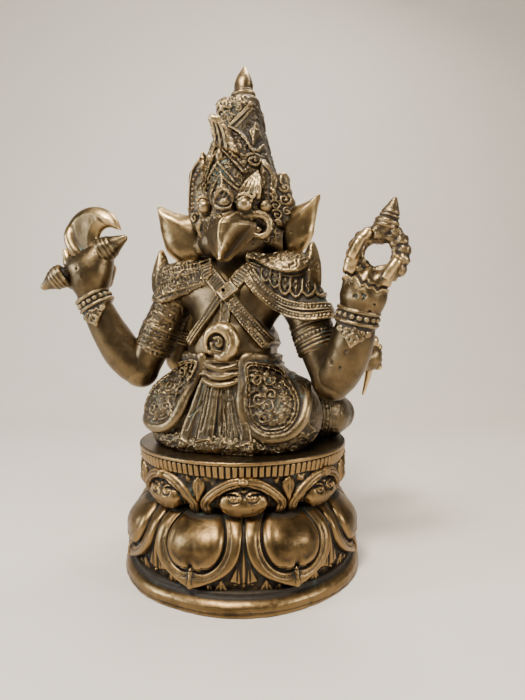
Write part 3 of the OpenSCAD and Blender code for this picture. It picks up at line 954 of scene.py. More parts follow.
def lower_lotus_tier():
    z = heights(12.4, 58.5)[:, None]
    x = np.abs(from_petal(REAR + math.pi / PETALS, 88))[None, :]
    ground = sweep(z, [12, 20, 32, 42, 50, 56, 58.5], [83.0, 83.6, 83.6, 81.4, 77.4, 71.5, 67])
    body = sweep(z, [12, 20, 30, 40, 48, 54, 58.5], [89.4, 89.2, 88.0, 85.6, 81.6, 76.0, 70.5])
    petal = curve([(33.9, 60), (34.2, 50), (33.2, 40), (29.5, 31), (22.5, 24), (12, 18.5), (0, 13.2)], 60)
    heart = curve([(0, 29.5), (2.6, 26.8), (8, 26.4), (14.5, 29.8), (19.6, 36.5), (21.6, 45), (19.5, 53.5),
                   (13, 59.5), (0, 62)], 70)
    inside, depth = within(x, z, petal), within(x, z, heart)
    r = ground + (body - ground) * dome(inside, 2.2, 1.0)
    rim = np.clip(inside, 0, None) * np.clip(-depth - 3.0, 0, None)
    r += 1.1 * np.sqrt(np.clip(rim, 0, 30) / 30) * (inside > 0)
    r += roll(-depth - 2.5, 1.4, 1.3) * (inside > 0) * smooth(64, 52, z)
    r += roll(-depth - 8.0, 4.6, 1.7) * (inside > 0) * smooth(64, 50, z)
    r -= 1.8 * np.exp(-((depth + 0.6) / 0.8) ** 2) * (inside > 0.5)
    swell = dome(depth, 19, 7.4)
    even = blur(np.tile(swell, (1, 3)), 9)[:, COLUMNS:2 * COLUMNS]
    r += swell + (even - swell) * smooth(2.5, 8, depth)
    curl = curve([(0.9, 31.5), (2.2, 30), (2.3, 27.6), (0.9, 25.4), (0.4, 22.5)], 20)
    r += roll(away(x, z, curl), 0.9, 1.0) * (depth < 0.5)
    r += roll(x, 1.8 * smooth(26, 15, z) + 0.2, 1.1) * smooth(25, 21, z) * (inside > -0.3)
    gap = 34.55 - x
    leaf = curve([(0, 53), (1.8, 44), (4.2, 34), (7.4, 24), (9.5, 18.5), (5, 16.2), (0, 18)], 40)
    deep = within(gap, z, leaf)
    spear = ground + 1.8 * dome(deep, 1.6, 1) + roll(gap, 1.0, 1.3)
    spear = spear - roll(np.abs(gap - 3.2) - 0.06 * (40 - z), 0.7, 0.7)
    r = np.where((inside < 0) & (deep > 0), spear, r)
    for place, tall, wide in ((15.5, 20.5, 4.6), (24.5, 17.5, 3.6)):
        tip = np.abs(gap - place)
        small = (tip < wide * (tall - z) / (tall - 12)) & (inside < -0.6)
        r = np.where(small, ground + 1.6 + roll(tip, 0.9, 0.9), r)
    r += ripple(r.shape, 44, 0.30) + ripple(r.shape, 3, 0.05) + ripple(r.shape, 3, 0.3) * (r < ground + 0.3)
    Turned(z[:, 0], np.minimum(r, 94.0)).cast("lower_lotus_tier", [(64, 58.5), (70, 30), (79, 12.4)])


def upper_lotus_tier():
    z = heights(56, 87)[:, None]
    x = np.abs(from_petal(REAR, 80))[None, :]
    ground = np.interp(z, [56, 60, 63, 67, 73, 80, 87], [62, 63, 67, 72.5, 76.5, 78, 77.5])
    petal = curve([(27.5, 62), (27, 67), (23.5, 72.5), (17, 78), (9, 82.6), (0, 84.5)], 40)
    inside = within(x, z, petal)
    r = np.where(inside > 0, np.maximum(ground, np.interp(z, [56, 62, 70, 85], [66, 72, 77.2, 78.6])), ground)
    arch = curve([(26.5, 60.5), (26.8, 66), (23, 71.5), (16.5, 76.8), (8.6, 81), (0, 82.4)], 50)
    off = away(x, z, arch)
    r = np.maximum(r, np.interp(z, [56, 62, 70, 84], [70, 75, 78.6, 79.4]) + roll(off, 3.7, 2.8)
                   - 6 * (off > 3.6))
    r -= roll(np.abs(off - 1.5), 0.6, 0.7)
    groove = curve([(21.5, 66), (18.5, 71), (12.5, 75.6), (5, 78.2), (0, 78.6)], 40)
    r -= roll(away(x, z, groove), 1.0, 1.2) * (inside > 0)
    bean = curve([(0, 73.2), (3.0, 76), (9, 76.3), (14.2, 73), (16.4, 67.5), (13.5, 61.5), (7, 58),
                  (0, 57.2)], 60)
    depth = within(x, z, bean)
    r = np.where(depth > 0, np.interp(z, [56, 60, 66, 76], [73.5, 76.5, 78.3, 78.0]) + dome(depth, 8, 4.6), r)
    swirl = np.linspace(0, 2.4 * math.pi, 50)
    volute = np.stack([6.4 - (4.6 - 0.52 * swirl) * np.sin(swirl + 2.4),
                       72.2 + (3.4 - 0.36 * swirl) * np.cos(swirl + 2.4)], axis=1)
    r -= roll(away(x, z, volute), 0.75, 1.0) * (depth > -0.5)
    r += roll(-depth - 1.5, 0.9, 1.3) * (inside > 0) * smooth(59, 63, z)
    r += roll(np.hypot(x, (z - 83.2) * 0.9), 3.4, 2.2)
    gap = 31.4 - x
    bud = curve([(0, 66.5), (2.6, 71), (5.0, 76.5), (4.4, 81.5), (0, 86)], 30)
    deep = within(gap, z, bud)
    r = np.where(deep > 0, np.maximum(r, 77.0 + dome(deep, 3, 3.6) + roll(gap, 0.7, 0.5)), r)
    r += ripple(r.shape, 20, 0.28) + ripple(r.shape, 2, 0.09) + ripple(r.shape, 3, 0.6) * (r < ground + 0.4)
    Turned(z[:, 0], np.minimum(r, 84.2)).cast("upper_lotus_tier", [(72, 87), (58, 56)])


def seat_plate():
    z = heights(84, 96)[:, None]
    phase = (ANGLE * TEETH / (2 * math.pi)) % 1
    tooth = smooth(0.06, 0.22, np.minimum(phase, 1 - phase))[None, :]
    # a spare draw, so that the ones after it stay as they are
    rng.normal(size=COLUMNS)  # a draw whose values are not used; the draws after it follow it in the stream
    low = ripple((1, COLUMNS), 12, 0.3) + 84.6
    band = smooth(92.9, 93.6, z)
    r = 80.0 + 2.2 * tooth * smooth(low, low + 0.8, z) * smooth(93.6, 92.4, z) + 2.6 * band
    r = r - 1.3 * smooth(92, 84, z) - 1.6 * smooth(95.0, 96.2, z) ** 2
    r += ripple(r.shape, 20, 0.14) + ripple(r.shape, 2, 0.04)
    top = [(81.2, 96.0), (79.8, 95.9), (60, 95.9), (30, 95.9), (4.4, 95.9), (4.4, 92), (76, 92), (76, 84)]
    Turned(z[:, 0], np.minimum(r, 83)).cast("seat_plate", top)


# ---------------------------------------------------------------- the body and what it wears

FINE = 0.6
FLOOR = 96.2


def block(points, pad, step=None):
    """A clay block round points, with pad to spare."""
    p = np.asarray(points, float)
    return Clay(p.min(axis=0) - pad, p.max(axis=0) + pad, step)


def sheet(base, low, high, outlines, thick, behind=None, ahead=None, edge=1.0):
    """A layer of even thickness over base, inside outlines drawn in x and z; edge rounds its border."""
    clay = base.part(low, high)
    side = np.max([clay.depth(o) for o in outlines], axis=0).astype(np.float32)
    clay.d -= thick
    _, y, _ = clay.grid()
    if behind is not None:
        clay.d = np.maximum(clay.d, y - behind)
    if ahead is not None:
        clay.d = np.maximum(clay.d, ahead - y)
    clay.d = -soft_min(-clay.d, side, edge)
    return clay


def strip(points, half):
    """The outline of a strip along a line."""
    p = curve(points, 14)
    return np.vstack([beside(p, half), beside(p, -half)[::-1]])


def laid(clay, points, y=-95.0):
    """Points drawn in x and z, carried along +Y to the surface; with y over 0 they come from the front."""
    p = curve(points)
    start = np.stack([p[:, 0], np.full(len(p), y), p[:, 1]], axis=1)
    return clay.throw(start, (0, 1 if y < 0 else -1, 0))[0]


def cut_floor(clay):
    """Cuts off what reaches below the seat."""
    clay.d = np.maximum(clay.d, FLOOR - clay.axes[2])


def torso_form():
    clay = Clay((-62, -62, 138), (62, 36, 258), FINE + 0.1)
    clay.reach = FORM_REACH
    clay.egg((0, -20, 205), (37, 23, 28))
    clay.rod((-40, -19, 214), (40, -17, 214), 14.5, soft=12)
    clay.egg((-2, -27, 168), (32, 23, 34), soft=14)
    clay.egg((0, -5, 166), (29, 26, 29), soft=10)
    clay.rod((0, -16, 222), (0, -13, 250), 20, 18, soft=8)
    return clay


def hips_form():
    clay = Clay((-74, -70, 92), (74, 48, 172), FINE + 0.1)
    clay.reach = FORM_REACH
    clay.egg((-38, -24, 120), (30, 32, 29))
    clay.egg((38, -22, 119), (30, 32, 28), soft=8)
    clay.egg((0, -30, 126), (34, 26, 34), soft=12)
    clay.egg((0, 8, 114), (50, 34, 20), soft=10)
    clay.egg((-2, -34, 101), (56, 31, 14), soft=8)
    return clay


def body_form():
    """The hips, torso and thighs as one, for the clothes to lie on."""
    clay = Clay((-92, -74, 92), (92, 60, 256), FINE + 0.15)
    clay.reach = FORM_REACH
    clay.stick(HIPS, margin=1)
    clay.stick(TORSO, 8, margin=1)
    for s in (-1, 1):
        clay.rod((s * 36, -4, 116), (s * 66, 22, 114), 21, 18, soft=5)
    return clay


# The plain forms that pieces are taken from, with a field that reaches further out than usual
FORM_REACH = 7.0
TORSO = torso_form()
HIPS = hips_form()
BODY = body_form()


def torso():
    clay = TORSO.copy()
    clay.ball((0, 23, 163), 3.0, soft=1.5, carve=True)
    for s in (-1, 1):
        clay.egg((s * 17, 2, 205), (15, 10, 11), soft=8)
        clay.ball((s * 19, 12.6, 203), 2.0, soft=1.0)
    clay.rod((1, -52, 190), (0, -50, 212), 3.0, 3.0, soft=6, carve=True)
    roughen(clay, 0.12, 6, 21)
    cast(clay, "torso", SMOOTH, "bronze_smooth")


def hips():
    clay = HIPS.copy()
    board = Board((-74, 92), (74, 116), 0.4)
    low = [(-62, 97), (62, 97), (66, 110), (-66, 110)]
    board.foliage(low, 40, 5.0, 0.8, 1.3, 23).scribble(low, 260, 5, 0.7, 1.0, 24).set()
    emboss(clay, board, from_rear(-10))
    roughen(clay, 0.3, 2.4, 22)
    cut_floor(clay)
    cast(clay, "hips", RELIEF)


def thighs():
    for name, s in (("left_thigh", -1), ("right_thigh", 1)):
        thigh = block([(s * 30, -10, 112), (s * 80, 40, 114)], 24, FINE + 0.1)
        thigh.rod((s * 34, -6, 116), (s * 64, 20, 114), 20, 18)
        thigh.rod((s * 64, 20, 114), (s * 72, 34, 113), 18, 15, soft=8)
        if s > 0:
            cloth(thigh)
        else:
            roughen(thigh, 0.3, 2.4, 25)
        cut_floor(thigh)
        cast(thigh, name, RELIEF)


def cloth(thigh):
    """The patterned skirt over the right thigh: beaded bands that run down round it, with scrolls between."""
    board = Board((-60, -40), (60, 60), 0.5)
    for v in (4, 19, 34):
        board.chain([(-60, v + 4), (0, v), (60, v + 4)], 6.0, 0.9)
    board.set()
    for k, (low, high) in enumerate(((7.5, 17), (22, 31))):
        board.foliage([(-55, low), (55, low), (55, high), (-55, high)], 26, 4.4, 0.7, 0.9, 60 + k)
    board.set()
    emboss(thigh, board, around((30, -10, 116), (72, 30, 113), 19))
    roughen(thigh, 0.2, 2.0, 24)


# ---- clothes

BUCKLE = [(-6, 210), (0.5, 203), (11, 211.5), (5, 218)]
KNOT = (0.6, 173.2)


def apron():
    """The pleated fall of cloth from the sash: it spreads over the seat and ends in a low wavy hem."""
    clay = Clay((-36, -74, 94), (32, -28, 150), FINE)
    tops = (-12.5, -4.2, 3.4, 7.6, 11.4)
    feet = (-23, -8.0, 6.0, 13.5, 21)
    for t, f, wide in zip(tops, feet, (3.2, 5.4, 3.0, 2.8, 3.2)):
        line = curve([(t, -51.5, 147), ((t + f) / 2 - 0.2, -55.5, 127), (f, -59.5, 110),
                      (f * 1.06, -61.5, 101)], 5)
        size = np.linspace(wide, wide * 1.5, 5)
        for j in range(4):
            for k in (-0.45, 0.0, 0.45):
                clay.rod(line[j] + (k * size[j], 0, 0), line[j + 1] + (k * size[j + 1], 0, 0), 0.58 * size[j],
                         0.58 * size[j + 1], soft=0.5)
    for f in np.linspace(-24, 22, 12):
        clay.rod((f * 0.52 - 0.5, -50.5, 146), (f, -58.5, 104), 3.0, 3.6, soft=0.8)
        clay.rod((f, -58.5, 104), (f * 1.05, -59.5, 96), 3.6, 3.6, soft=0.8)
    board = Board((-37, 92), (33, 152), 0.4)
    draw = np.random.default_rng(31)
    for k in range(20):
        t = draw.uniform(-13, 13)
        if -9.0 < t < 2.0:
            continue
        lean, top, foot = draw.uniform(-0.6, 0.6), draw.uniform(130, 145), draw.uniform(101, 122)
        board.line([(t, top), (t * 1.4 + lean * 2, (top + foot) / 2), (t * 1.95 + lean * 4, foot)], 0.6, 0.9,
                   cut=True)
    for top, foot, low in ((-8.6, -14.6, 104), (-6.8, -11.0, 112), (0.2, -1.0, 103), (2.0, 4.0, 110)):
        board.line(curve([(top, 143), ((top + foot) / 2, 124), (foot, low)]), 0.7, 1.2, cut=True)
    hem = [(-36, 101), (-27, 105.5), (-20, 103), (-12, 105), (-5, 106.5), (2, 104), (9, 106), (16, 102.5),
           (24, 105), (33, 101)]
    board.line(curve(hem), 0.9, 1.0).set()
    board.scribble([(-35, 94), (32, 94), (32, 101), (-35, 101)], 110, 4.0, 0.6, 0.8, 33).set()
    emboss(clay, board, from_rear(-40))
    cut_floor(clay)
    roughen(clay, 0.12, 3.2, 32)
    cast(clay, "rear_apron", RELIEF)


PANELS = {
    "right_hip_panel": [(14.4, 163.5), (13.6, 146), (14.0, 128), (20, 113), (34, 105), (50, 107), (60, 117),
                        (63, 130), (60, 142), (52, 152), (40, 162), (27, 165.5)],
    "left_hip_panel": [(-12.0, 164.5), (-17, 150), (-22, 137), (-27.5, 122), (-35, 112), (-45, 108),
                       (-57, 109), (-71, 117), (-67, 137), (-57, 152), (-44, 162), (-26, 166.5)],
}


def hip_panels():
    """The panels of the skirt over the hips: a smooth rolled border, two lines, and flowers in relief."""
    for k, (name, outline) in enumerate(PANELS.items()):
        o = np.array(outline, float)
        low, high = o.min(axis=0), o.max(axis=0)
        clay = sheet(BODY, (low[0] - 5, -74, low[1] - 5), (high[0] + 5, 10, high[1] + 5), [outline], 3.0,
                     behind=-2)
        board = Board(low - 4, high + 4, 0.35)
        edge = curve(outline, closed=True)
        centre = o.mean(axis=0)
        inner = [edge + unit(centre - edge) * gap for gap in (7.4, 9.6, 11.6)]
        for line in inner[:2]:
            board.line(line, 0.8, 1.2)
        board.set()
        field = inner[2][::8]
        board.foliage(field, 16, 6.4, 1.0, 1.9, 40 + k).foliage(field, 60, 3.6, 0.8, 1.4, 48 + k)
        board.scribble(field, 220, 4, 0.6, 1.0, 42 + k).set()
        emboss(clay, board, from_rear(8))
        roughen(clay, 0.22, 1.8, 44 + k)
        rim = curve((edge + unit(centre - edge) * 3.2)[::5], closed=True)
        on, _ = BODY.throw(np.stack([rim[:, 0], np.full(len(rim), -95.0), rim[:, 1]], axis=1), (0, 1, 0))
        for a, b in zip(on[:-1], on[1:]):
            if np.linalg.norm(b - a) < 5 and a[1] < 4 and a[2] < 163:
                clay.rod(a + (0, -3.7, 0), b + (0, -3.7, 0), 3.9, soft=0.3, flat=((0, 1, 0), 1.25))
        cut_floor(clay)
        cast(clay, name, RELIEF)


def sash():
    """The sash round the waist: three hanging folds between the knot and the apron, plain bands elsewhere."""
    clay = sheet(BODY, (-62, -70, 136), (62, 40, 170), [[(-60, 148), (60, 148), (60, 163), (-60, 163)]], 1.6)
    board = Board((-62, 140), (62, 170), 0.5)
    for z in (151, 155.5, 160):
        board.line([(-62, z), (62, z)], 2.0, 1.2)
    board.set()
    emboss(clay, board, right_through)
    for z, sag, half, size in ((161.5, 7.0, 14.5, 3.3), (154.2, 5.6, 14.0, 3.0), (147.6, 4.2, 13.5, 2.6)):
        line = [(-half, z), (-half * 0.55, z - sag * 0.72), (0, z - sag), (half * 0.55, z - sag * 0.78),
                (half, z - 1.5)]
        on = laid(BODY, line)
        for i, (a, b) in enumerate(zip(on[:-1], on[1:])):
            full = size * (0.62 + 0.38 * math.sin(math.pi * (i + 0.5) / (len(on) - 1)))
            clay.rod(a + (0, -3.0, 0), b + (0, -3.0, 0), full, flat=((0, -0.35, 1), 1.25))
    roughen(clay, 0.14, 3, 45)
    cast(clay, "waist_sash", SMOOTH, "bronze_smooth")


def knot():
    """A flat coil of cloth: a broad outer roll, open at the lower left, a winding groove and two pits."""
    x, z = KNOT
    clay = block([(x, -54, z)], 19, FINE)
    y = laid(BODY, [(x - 1, z), (x + 1, z)])[0][1]
    clay.egg((x, y - 0.5, z), (12.4, 5.6, 11.6))
    roll = [(-8.2, -7), (-10.6, -1), (-8.6, 6.2), (-2.4, 10.0), (4.8, 8.6), (8.8, 2.6), (8.6, -4.6),
            (4.0, -9.6), (-2.6, -10)]
    line = curve([(x + a, y - 3.4, z + b) for a, b in roll], 40)
    size = np.interp(np.linspace(0, 1, 40), [0, 0.25, 0.55, 0.75, 1], [1.8, 3.0, 4.8, 4.4, 2.6])
    clay.tube(line, size, soft=1.6)
    board = Board((x - 18, z - 18), (x + 18, z + 18), 0.3)
    t = np.linspace(0, 1, 50)
    a = math.radians(215) - 2 * math.pi * 1.3 * t
    r = 7.8 - 5.8 * t
    board.line(np.stack([x - 1.6 + r * np.cos(a), z - 0.4 + r * np.sin(a)], axis=1), 1.1, 2.0, cut=True)
    for r in (0.82, 1.1):
        board.line(curve([(x + 1 + 6 * r, z + 8 * r), (x + 10 * r, z + 1), (x + 7 * r, z - 7 * r)]), 0.4, 0.5,
                   cut=True)
    for c, size in (((x - 6.2, z + 1.5), 1.6), ((x + 1.2, z - 4.5), 1.2)):
        board.pit(c, size, 2.6)
    emboss(clay, board, from_rear(y + 6))
    roughen(clay, 0.2, 2.4, 46)
    cast(clay, "sash_knot", SMOOTH, "bronze_smooth")


RIGHT_BAND = [(3, 211), (9, 219), (17, 229), (24, 238)]
LEFT_BAND = [(-2, 211), (-8, 218), (-16, 227), (-24, 240)]
RIGHT_STRAP = [(3, 207), (14, 193), (25, 180), (32, 171)]
LEFT_STRAP = [(-3, 208), (-12, 195), (-21, 183), (-29, 173)]
SPINE = [(1.5, 203), (1.2, 194), (0.8, 185)]


def straps():
    """The crossed straps: two up to the neck, two down to the waist and one along the spine."""
    lines = ((RIGHT_BAND, 5.2), (LEFT_BAND, 6.0), (RIGHT_STRAP, 5.2), (LEFT_STRAP, 4.4), (SPINE, 4.0))
    clay = sheet(TORSO, (-38, -62, 158), (40, 34, 250), [strip(p, h) for p, h in lines], 1.5, edge=2.0)
    board = Board((-40, 156), (42, 252), 0.35)
    for side in (-1, 1):
        board.chain(beside(curve(RIGHT_STRAP), side * 2.3)[::3], 3.4, 1.3, 2.2)
    board.chain(LEFT_STRAP, 5.6, 1.3, 2.0).set()
    for band, half in ((RIGHT_BAND, 4.4), (LEFT_BAND, 5.0)):
        p = curve(band)
        for side in (-1, 1):
            board.line(beside(p, side * half), 0.8, 1.1)
        left, right = beside(p, half - 1), beside(p, 1 - half)
        for i in range(1, len(p) - 1, 3):
            board.line([left[i], right[min(i + 1, len(p) - 1)]], 0.7, 0.9)
    for side in (-1, 1):
        board.line(beside(curve(SPINE), side * 3.2), 0.8, 0.9)
    board.set()
    emboss(clay, board, right_through)
    roughen(clay, 0.15, 1.6, 47)
    cast(clay, "chest_straps", RELIEF)


def buckle():
    clay = sheet(TORSO, (-10, -62, 198), (16, -30, 224), [BUCKLE], 4.2, behind=-34)
    board = Board((-12, 196), (18, 226), 0.3)
    board.pit((-0.5, 211), 1.3, 3.0)
    outline = np.array(BUCKLE + BUCKLE[:1], float)
    middle = np.mean(BUCKLE, axis=0)
    board.line(outline + (middle - outline) * 0.12, 0.9, 0.9).set()
    emboss(clay, board, from_rear(-36))
    roughen(clay, 0.12, 2, 48)
    cast(clay, "strap_buckle", RELIEF)


COLLAR = {
    1: [(13.5, 236), (13.5, 227), (14.5, 219), (23, 208.5), (33, 199), (45, 191.5), (58, 188.5), (71, 189.5),
        (78, 195), (75, 208), (68, 218), (61, 228), (57, 238), (44, 241), (26, 244)],
    -1: [(-16, 240), (-13, 226), (-15, 216), (-28, 212), (-44, 205), (-56, 203), (-66, 206), (-66, 222),
         (-56, 238), (-40, 246), (-26, 247)],
}


def shoulders():
    """The torso with the roots of the raised arms, for the collars to lie on."""
    clay = Clay((-84, -62, 176), (84, 36, 256), TORSO.step)
    clay.reach = FORM_REACH
    clay.stick(TORSO, margin=1)
    for s in (-1, 1):
        clay.rod((s * 44, -19, 214), (s * 72, -28, 170), 17, 14, soft=6)
        clay.egg((s * 40, -20, 226), (20, 15, 9), soft=6)
    return clay


def collars():
    """The shoulder collars with their upright leaves: the right has a smooth cape, the left only bands."""
    base = shoulders()
    for s, name in ((1, "right_shoulder_collar"), (-1, "left_shoulder_collar")):
        o = np.array(COLLAR[s], float)
        low, high = o.min(axis=0), o.max(axis=0)
        clay = sheet(base, (low[0] - 6, -62, low[1] - 6), (high[0] + 6, 36, high[1] + 8), [o], 1.9, edge=2.0)
        board = Board(low - 4, high + 8, 0.35)
        if s > 0:
            cape = [(13, 246), (13.5, 234.5), (19, 234), (24, 231), (30, 227.5), (37, 224.5), (46, 222.5),
                    (54, 223.5), (59.5, 228), (62, 236), (60, 250)]
            board.plate(cape, 2.9).scribble(cape, 170, 4.5, 0.6, 0.7, 141)
            hem = [(13.5, 236), (18, 233.5), (24, 231), (30, 227.5), (37, 224.5), (46, 222.5), (54, 223.5),
                   (60, 229)]
            board.beads(hem, 1.2, 1.5, 2.2).line(beside(curve(hem), 1.8), 0.7, 0.9)
            board.line(beside(curve(hem), -1.9), 0.8, 1.6)
            for band in ([(17.5, 226), (27, 213.5), (37, 205), (47, 200.5), (60, 198.5), (77, 199.5)],
                         [(15.5, 219.5), (25, 208), (35, 199), (46, 194), (60, 191.5), (77, 193.5)]):
                board.plate(strip(band, 2.6), 0.6).chain(band, 4.4, 1.5, 2.4)
            for x, z, wide, tall in ((29.5, 218.5, 3.6, 8), (36.5, 213.5, 4.0, 9), (44.0, 208.5, 4.2, 10),
                                     (52.0, 206.5, 4.2, 11), (60.5, 207, 4.2, 11), (68.0, 207.5, 3.4, 9)):
                lobe = [(x - wide, z + tall), (x - wide * 0.9, z + 3), (x, z - 1), (x + wide * 0.9, z + 3),
                        (x + wide, z + tall)]
                board.line(curve(lobe), 1.15, 2.4)
                board.leaf(np.array((x, z + tall)), -90, tall * 0.8, wide * 0.9, 1.4)
        else:
            for line in ([(-64, 226), (-48, 231), (-20, 237)], [(-62, 216), (-47, 223), (-18, 229.5)],
                         [(-60, 209), (-46, 213), (-18, 220)]):
                board.chain(line, 3.6, 1.1, 2.0)
            for line in ([(-62, 221), (-48, 227), (-19, 233.5)], [(-62, 212), (-47, 218), (-18, 225)]):
                p = curve(line)
                for j in range(1, len(p) - 2, 3):
                    board.line([p[j] + (0, 1.8), p[j + 1] - (0, 1.8)], 0.7, 1.0)
            board.set()
            board.scribble(o, 140, 5, 0.6, 0.8, 49)
            board.plate([(-25, 234), (-15, 238), (-10, 221), (-21, 219)], 1.2)
            for j in range(6):
                board.line([(-24.5 + 1.6 * j, 233 - 2.4 * j), (-16 + 1.2 * j, 237 - 2.6 * j)], 0.8, 1.4)
        board.set()
        emboss(clay, board, right_through)
        leaf = [(s * 56, 212), (s * 52, 226), (s * 55, 238), (s * 61, 247), (s * 66, 236), (s * 68, 222),
                (s * 66, 212)]
        tip = Clay((min(s * 50, s * 72), -40, 208), (max(s * 50, s * 72), -12, 250), FINE)
        depth = tip.depth(curve(leaf, closed=True))
        _, y, z = tip.grid()
        bulge = np.sqrt(np.clip(depth, 0, 8) / 8) * 7.0
        off = np.abs(y - np.interp(z, [208, 225, 247], [-27, -27, -24]))
        tip.d = (np.where(depth > 0, off - bulge, -depth + off * 0.3) * 0.6).astype(np.float32)
        merged = Clay(np.minimum(clay.low, tip.low) + 2, np.maximum(clay.high, tip.high) - 2, FINE)
        for half in (clay, tip):
            merged.stick(half, 1.0)
        roughen(merged, 0.14, 1.8, 50 + s)
        cast(merged, name, RELIEF)


def front_necklace():
    """Two strings and a pendant over the chest, seen from the front."""
    outline = [(-24, 230), (-19, 216), (-9, 205), (0, 200), (9, 205), (19, 216), (24, 230), (17, 231),
               (12, 221), (0, 213), (-12, 221), (-17, 231)]
    clay = sheet(TORSO, (-30, -12, 190), (30, 36, 236), [outline], 2.4, ahead=-8)
    board = Board((-32, 188), (32, 238), 0.4)
    board.beads([(-19, 230), (-13, 219), (0, 211), (13, 219), (19, 230)], 1.4, 1.8, 2.9)
    board.beads([(-23, 230), (-18, 216), (-8, 206), (0, 202), (8, 206), (18, 216), (23, 230)], 1.1, 1.5, 2.4)
    for k in range(-3, 4):
        board.leaf(np.array([k * 5.2, 211 + 0.75 * abs(k) ** 1.8]), -90 + 14 * k, 6.5, 4.5, 1.4)
    board.set()
    emboss(clay, board, from_front(-6))
    on = laid(TORSO, [(0, 203), (0, 197)], y=90)
    clay.egg(on[-1] + (0, 1, 0), (5, 3, 6.5))
    clay.ball(on[-1] + (0, 3.6, 0.5), 2.6)
    cast(clay, "front_necklace", RELIEF)


# ---------------------------------------------------------------- arms, hands, legs and what the hands hold

LEFT_SHOULDER, LEFT_ELBOW, LEFT_WRIST = (-48, -20, 211), (-77, -29, 151), (-111, -42, 206)
RIGHT_SHOULDER, RIGHT_ELBOW = (48, -20, 211), (76, -29, 146)
GRIP_LOW, GRIP_HIGH = np.array((-139.0, -54, 221)), np.array((-89.0, -40.5, 252.0))
RING = np.array((107.6, -46, 231.5))


def spread(radii, count):
    """Radii for count points, in even steps between the given ones."""
    return np.interp(np.linspace(0, 1, count), np.linspace(0, 1, len(radii)), radii)


def raised_arms():
    for name, a, b, ra, rb in (("left_upper_arm", LEFT_SHOULDER, LEFT_ELBOW, 15, 13.5),
                               ("right_upper_arm", RIGHT_SHOULDER, RIGHT_ELBOW, 15, 13.8)):
        clay = block([a, b], 20, FINE + 0.1)
        clay.rod(a, b, ra, rb)
        clay.ball(b, rb + 0.4, soft=2)
        roughen(clay, 0.12, 4, 61)
        if name[0] == "l":
            board = Board((-50, -20), (50, 80), 0.5)
            for v in (6, 13, 20, 27):
                board.line([(-50, v + 4), (0, v), (50, v - 5)], 1.6, 1.1)
                board.beads([(-50, v + 7.5), (0, v + 3.5), (50, v - 1.5)], 1.0, 0.8, 2.6)
            board.scribble([(-50, 0), (50, 0), (50, 34), (-50, 34)], 420, 6, 0.7, 1.0, 62)
            board.set()
            emboss(clay, board, around(a, b, 15))
        cast(clay, name, SMOOTH, "bronze_smooth")
    for name, points, radii in (
            ("left_forearm", [LEFT_ELBOW, (-89, -33, 163), (-101, -38, 184), LEFT_WRIST],
             (13.6, 14.2, 12.3, 10.4)),
            ("right_forearm", [RIGHT_ELBOW, (83, -33, 156), (90, -38, 172), (95, -42, 192)],
             (13.8, 14.6, 13.6, 11.2))):
        clay = block(points, 18, FINE + 0.1)
        clay.tube(curve(points, 14), spread(radii, 14), soft=3)
        roughen(clay, 0.12, 5, 63)
        if name[0] == "r":
            for p in ((88, -50, 168), (84, -47, 157), (80, -44, 160), (92, -50, 178)):
                spot = clay.snap([p])[0][0]
                clay.egg(spot, (1.0, 1.0, 1.5), carve=True, soft=0.8)
        cast(clay, name, SMOOTH, "bronze_smooth")


def cuff(name, a, b, size, board, seed, thick=2.4, start=(0, -1, 0)):
    """A band round a limb from a to b, with relief round it; size is the limb's radius at each end."""
    a, b = np.asarray(a, float), np.asarray(b, float)
    clay = block([a, b], max(size) + thick + 3, FINE)
    clay.rod(a, b, size[0] + thick, size[1] + thick)
    axis = unit(b - a)
    run = float(np.linalg.norm(b - a))
    along = dot(clay.offsets(a), axis)
    ends = np.minimum(along + 1, run + 1 - along)
    clay.d = -soft_min(-clay.d, ends.astype(np.float32), 1.0)
    emboss(clay, board, around(a, b, (size[0] + size[1]) / 2 + thick, start))
    roughen(clay, 0.12, 2.0, seed)
    cast(clay, name, RELIEF)


def bracelet_board(run):
    """A plain ring, a row of large beads and a plain ring."""
    board = Board((-50, -8), (50, run + 4), 0.35)
    board.line([(-50, run - 1.6), (50, run - 1.6)], 1.7, 2.0)
    board.line([(-50, run - 9.4), (50, run - 9.4)], 1.5, 1.8)
    board.beads([(-50, run - 5.5), (50, run - 5.5)], 2.1, 2.0, 4.7)
    board.set()
    return board


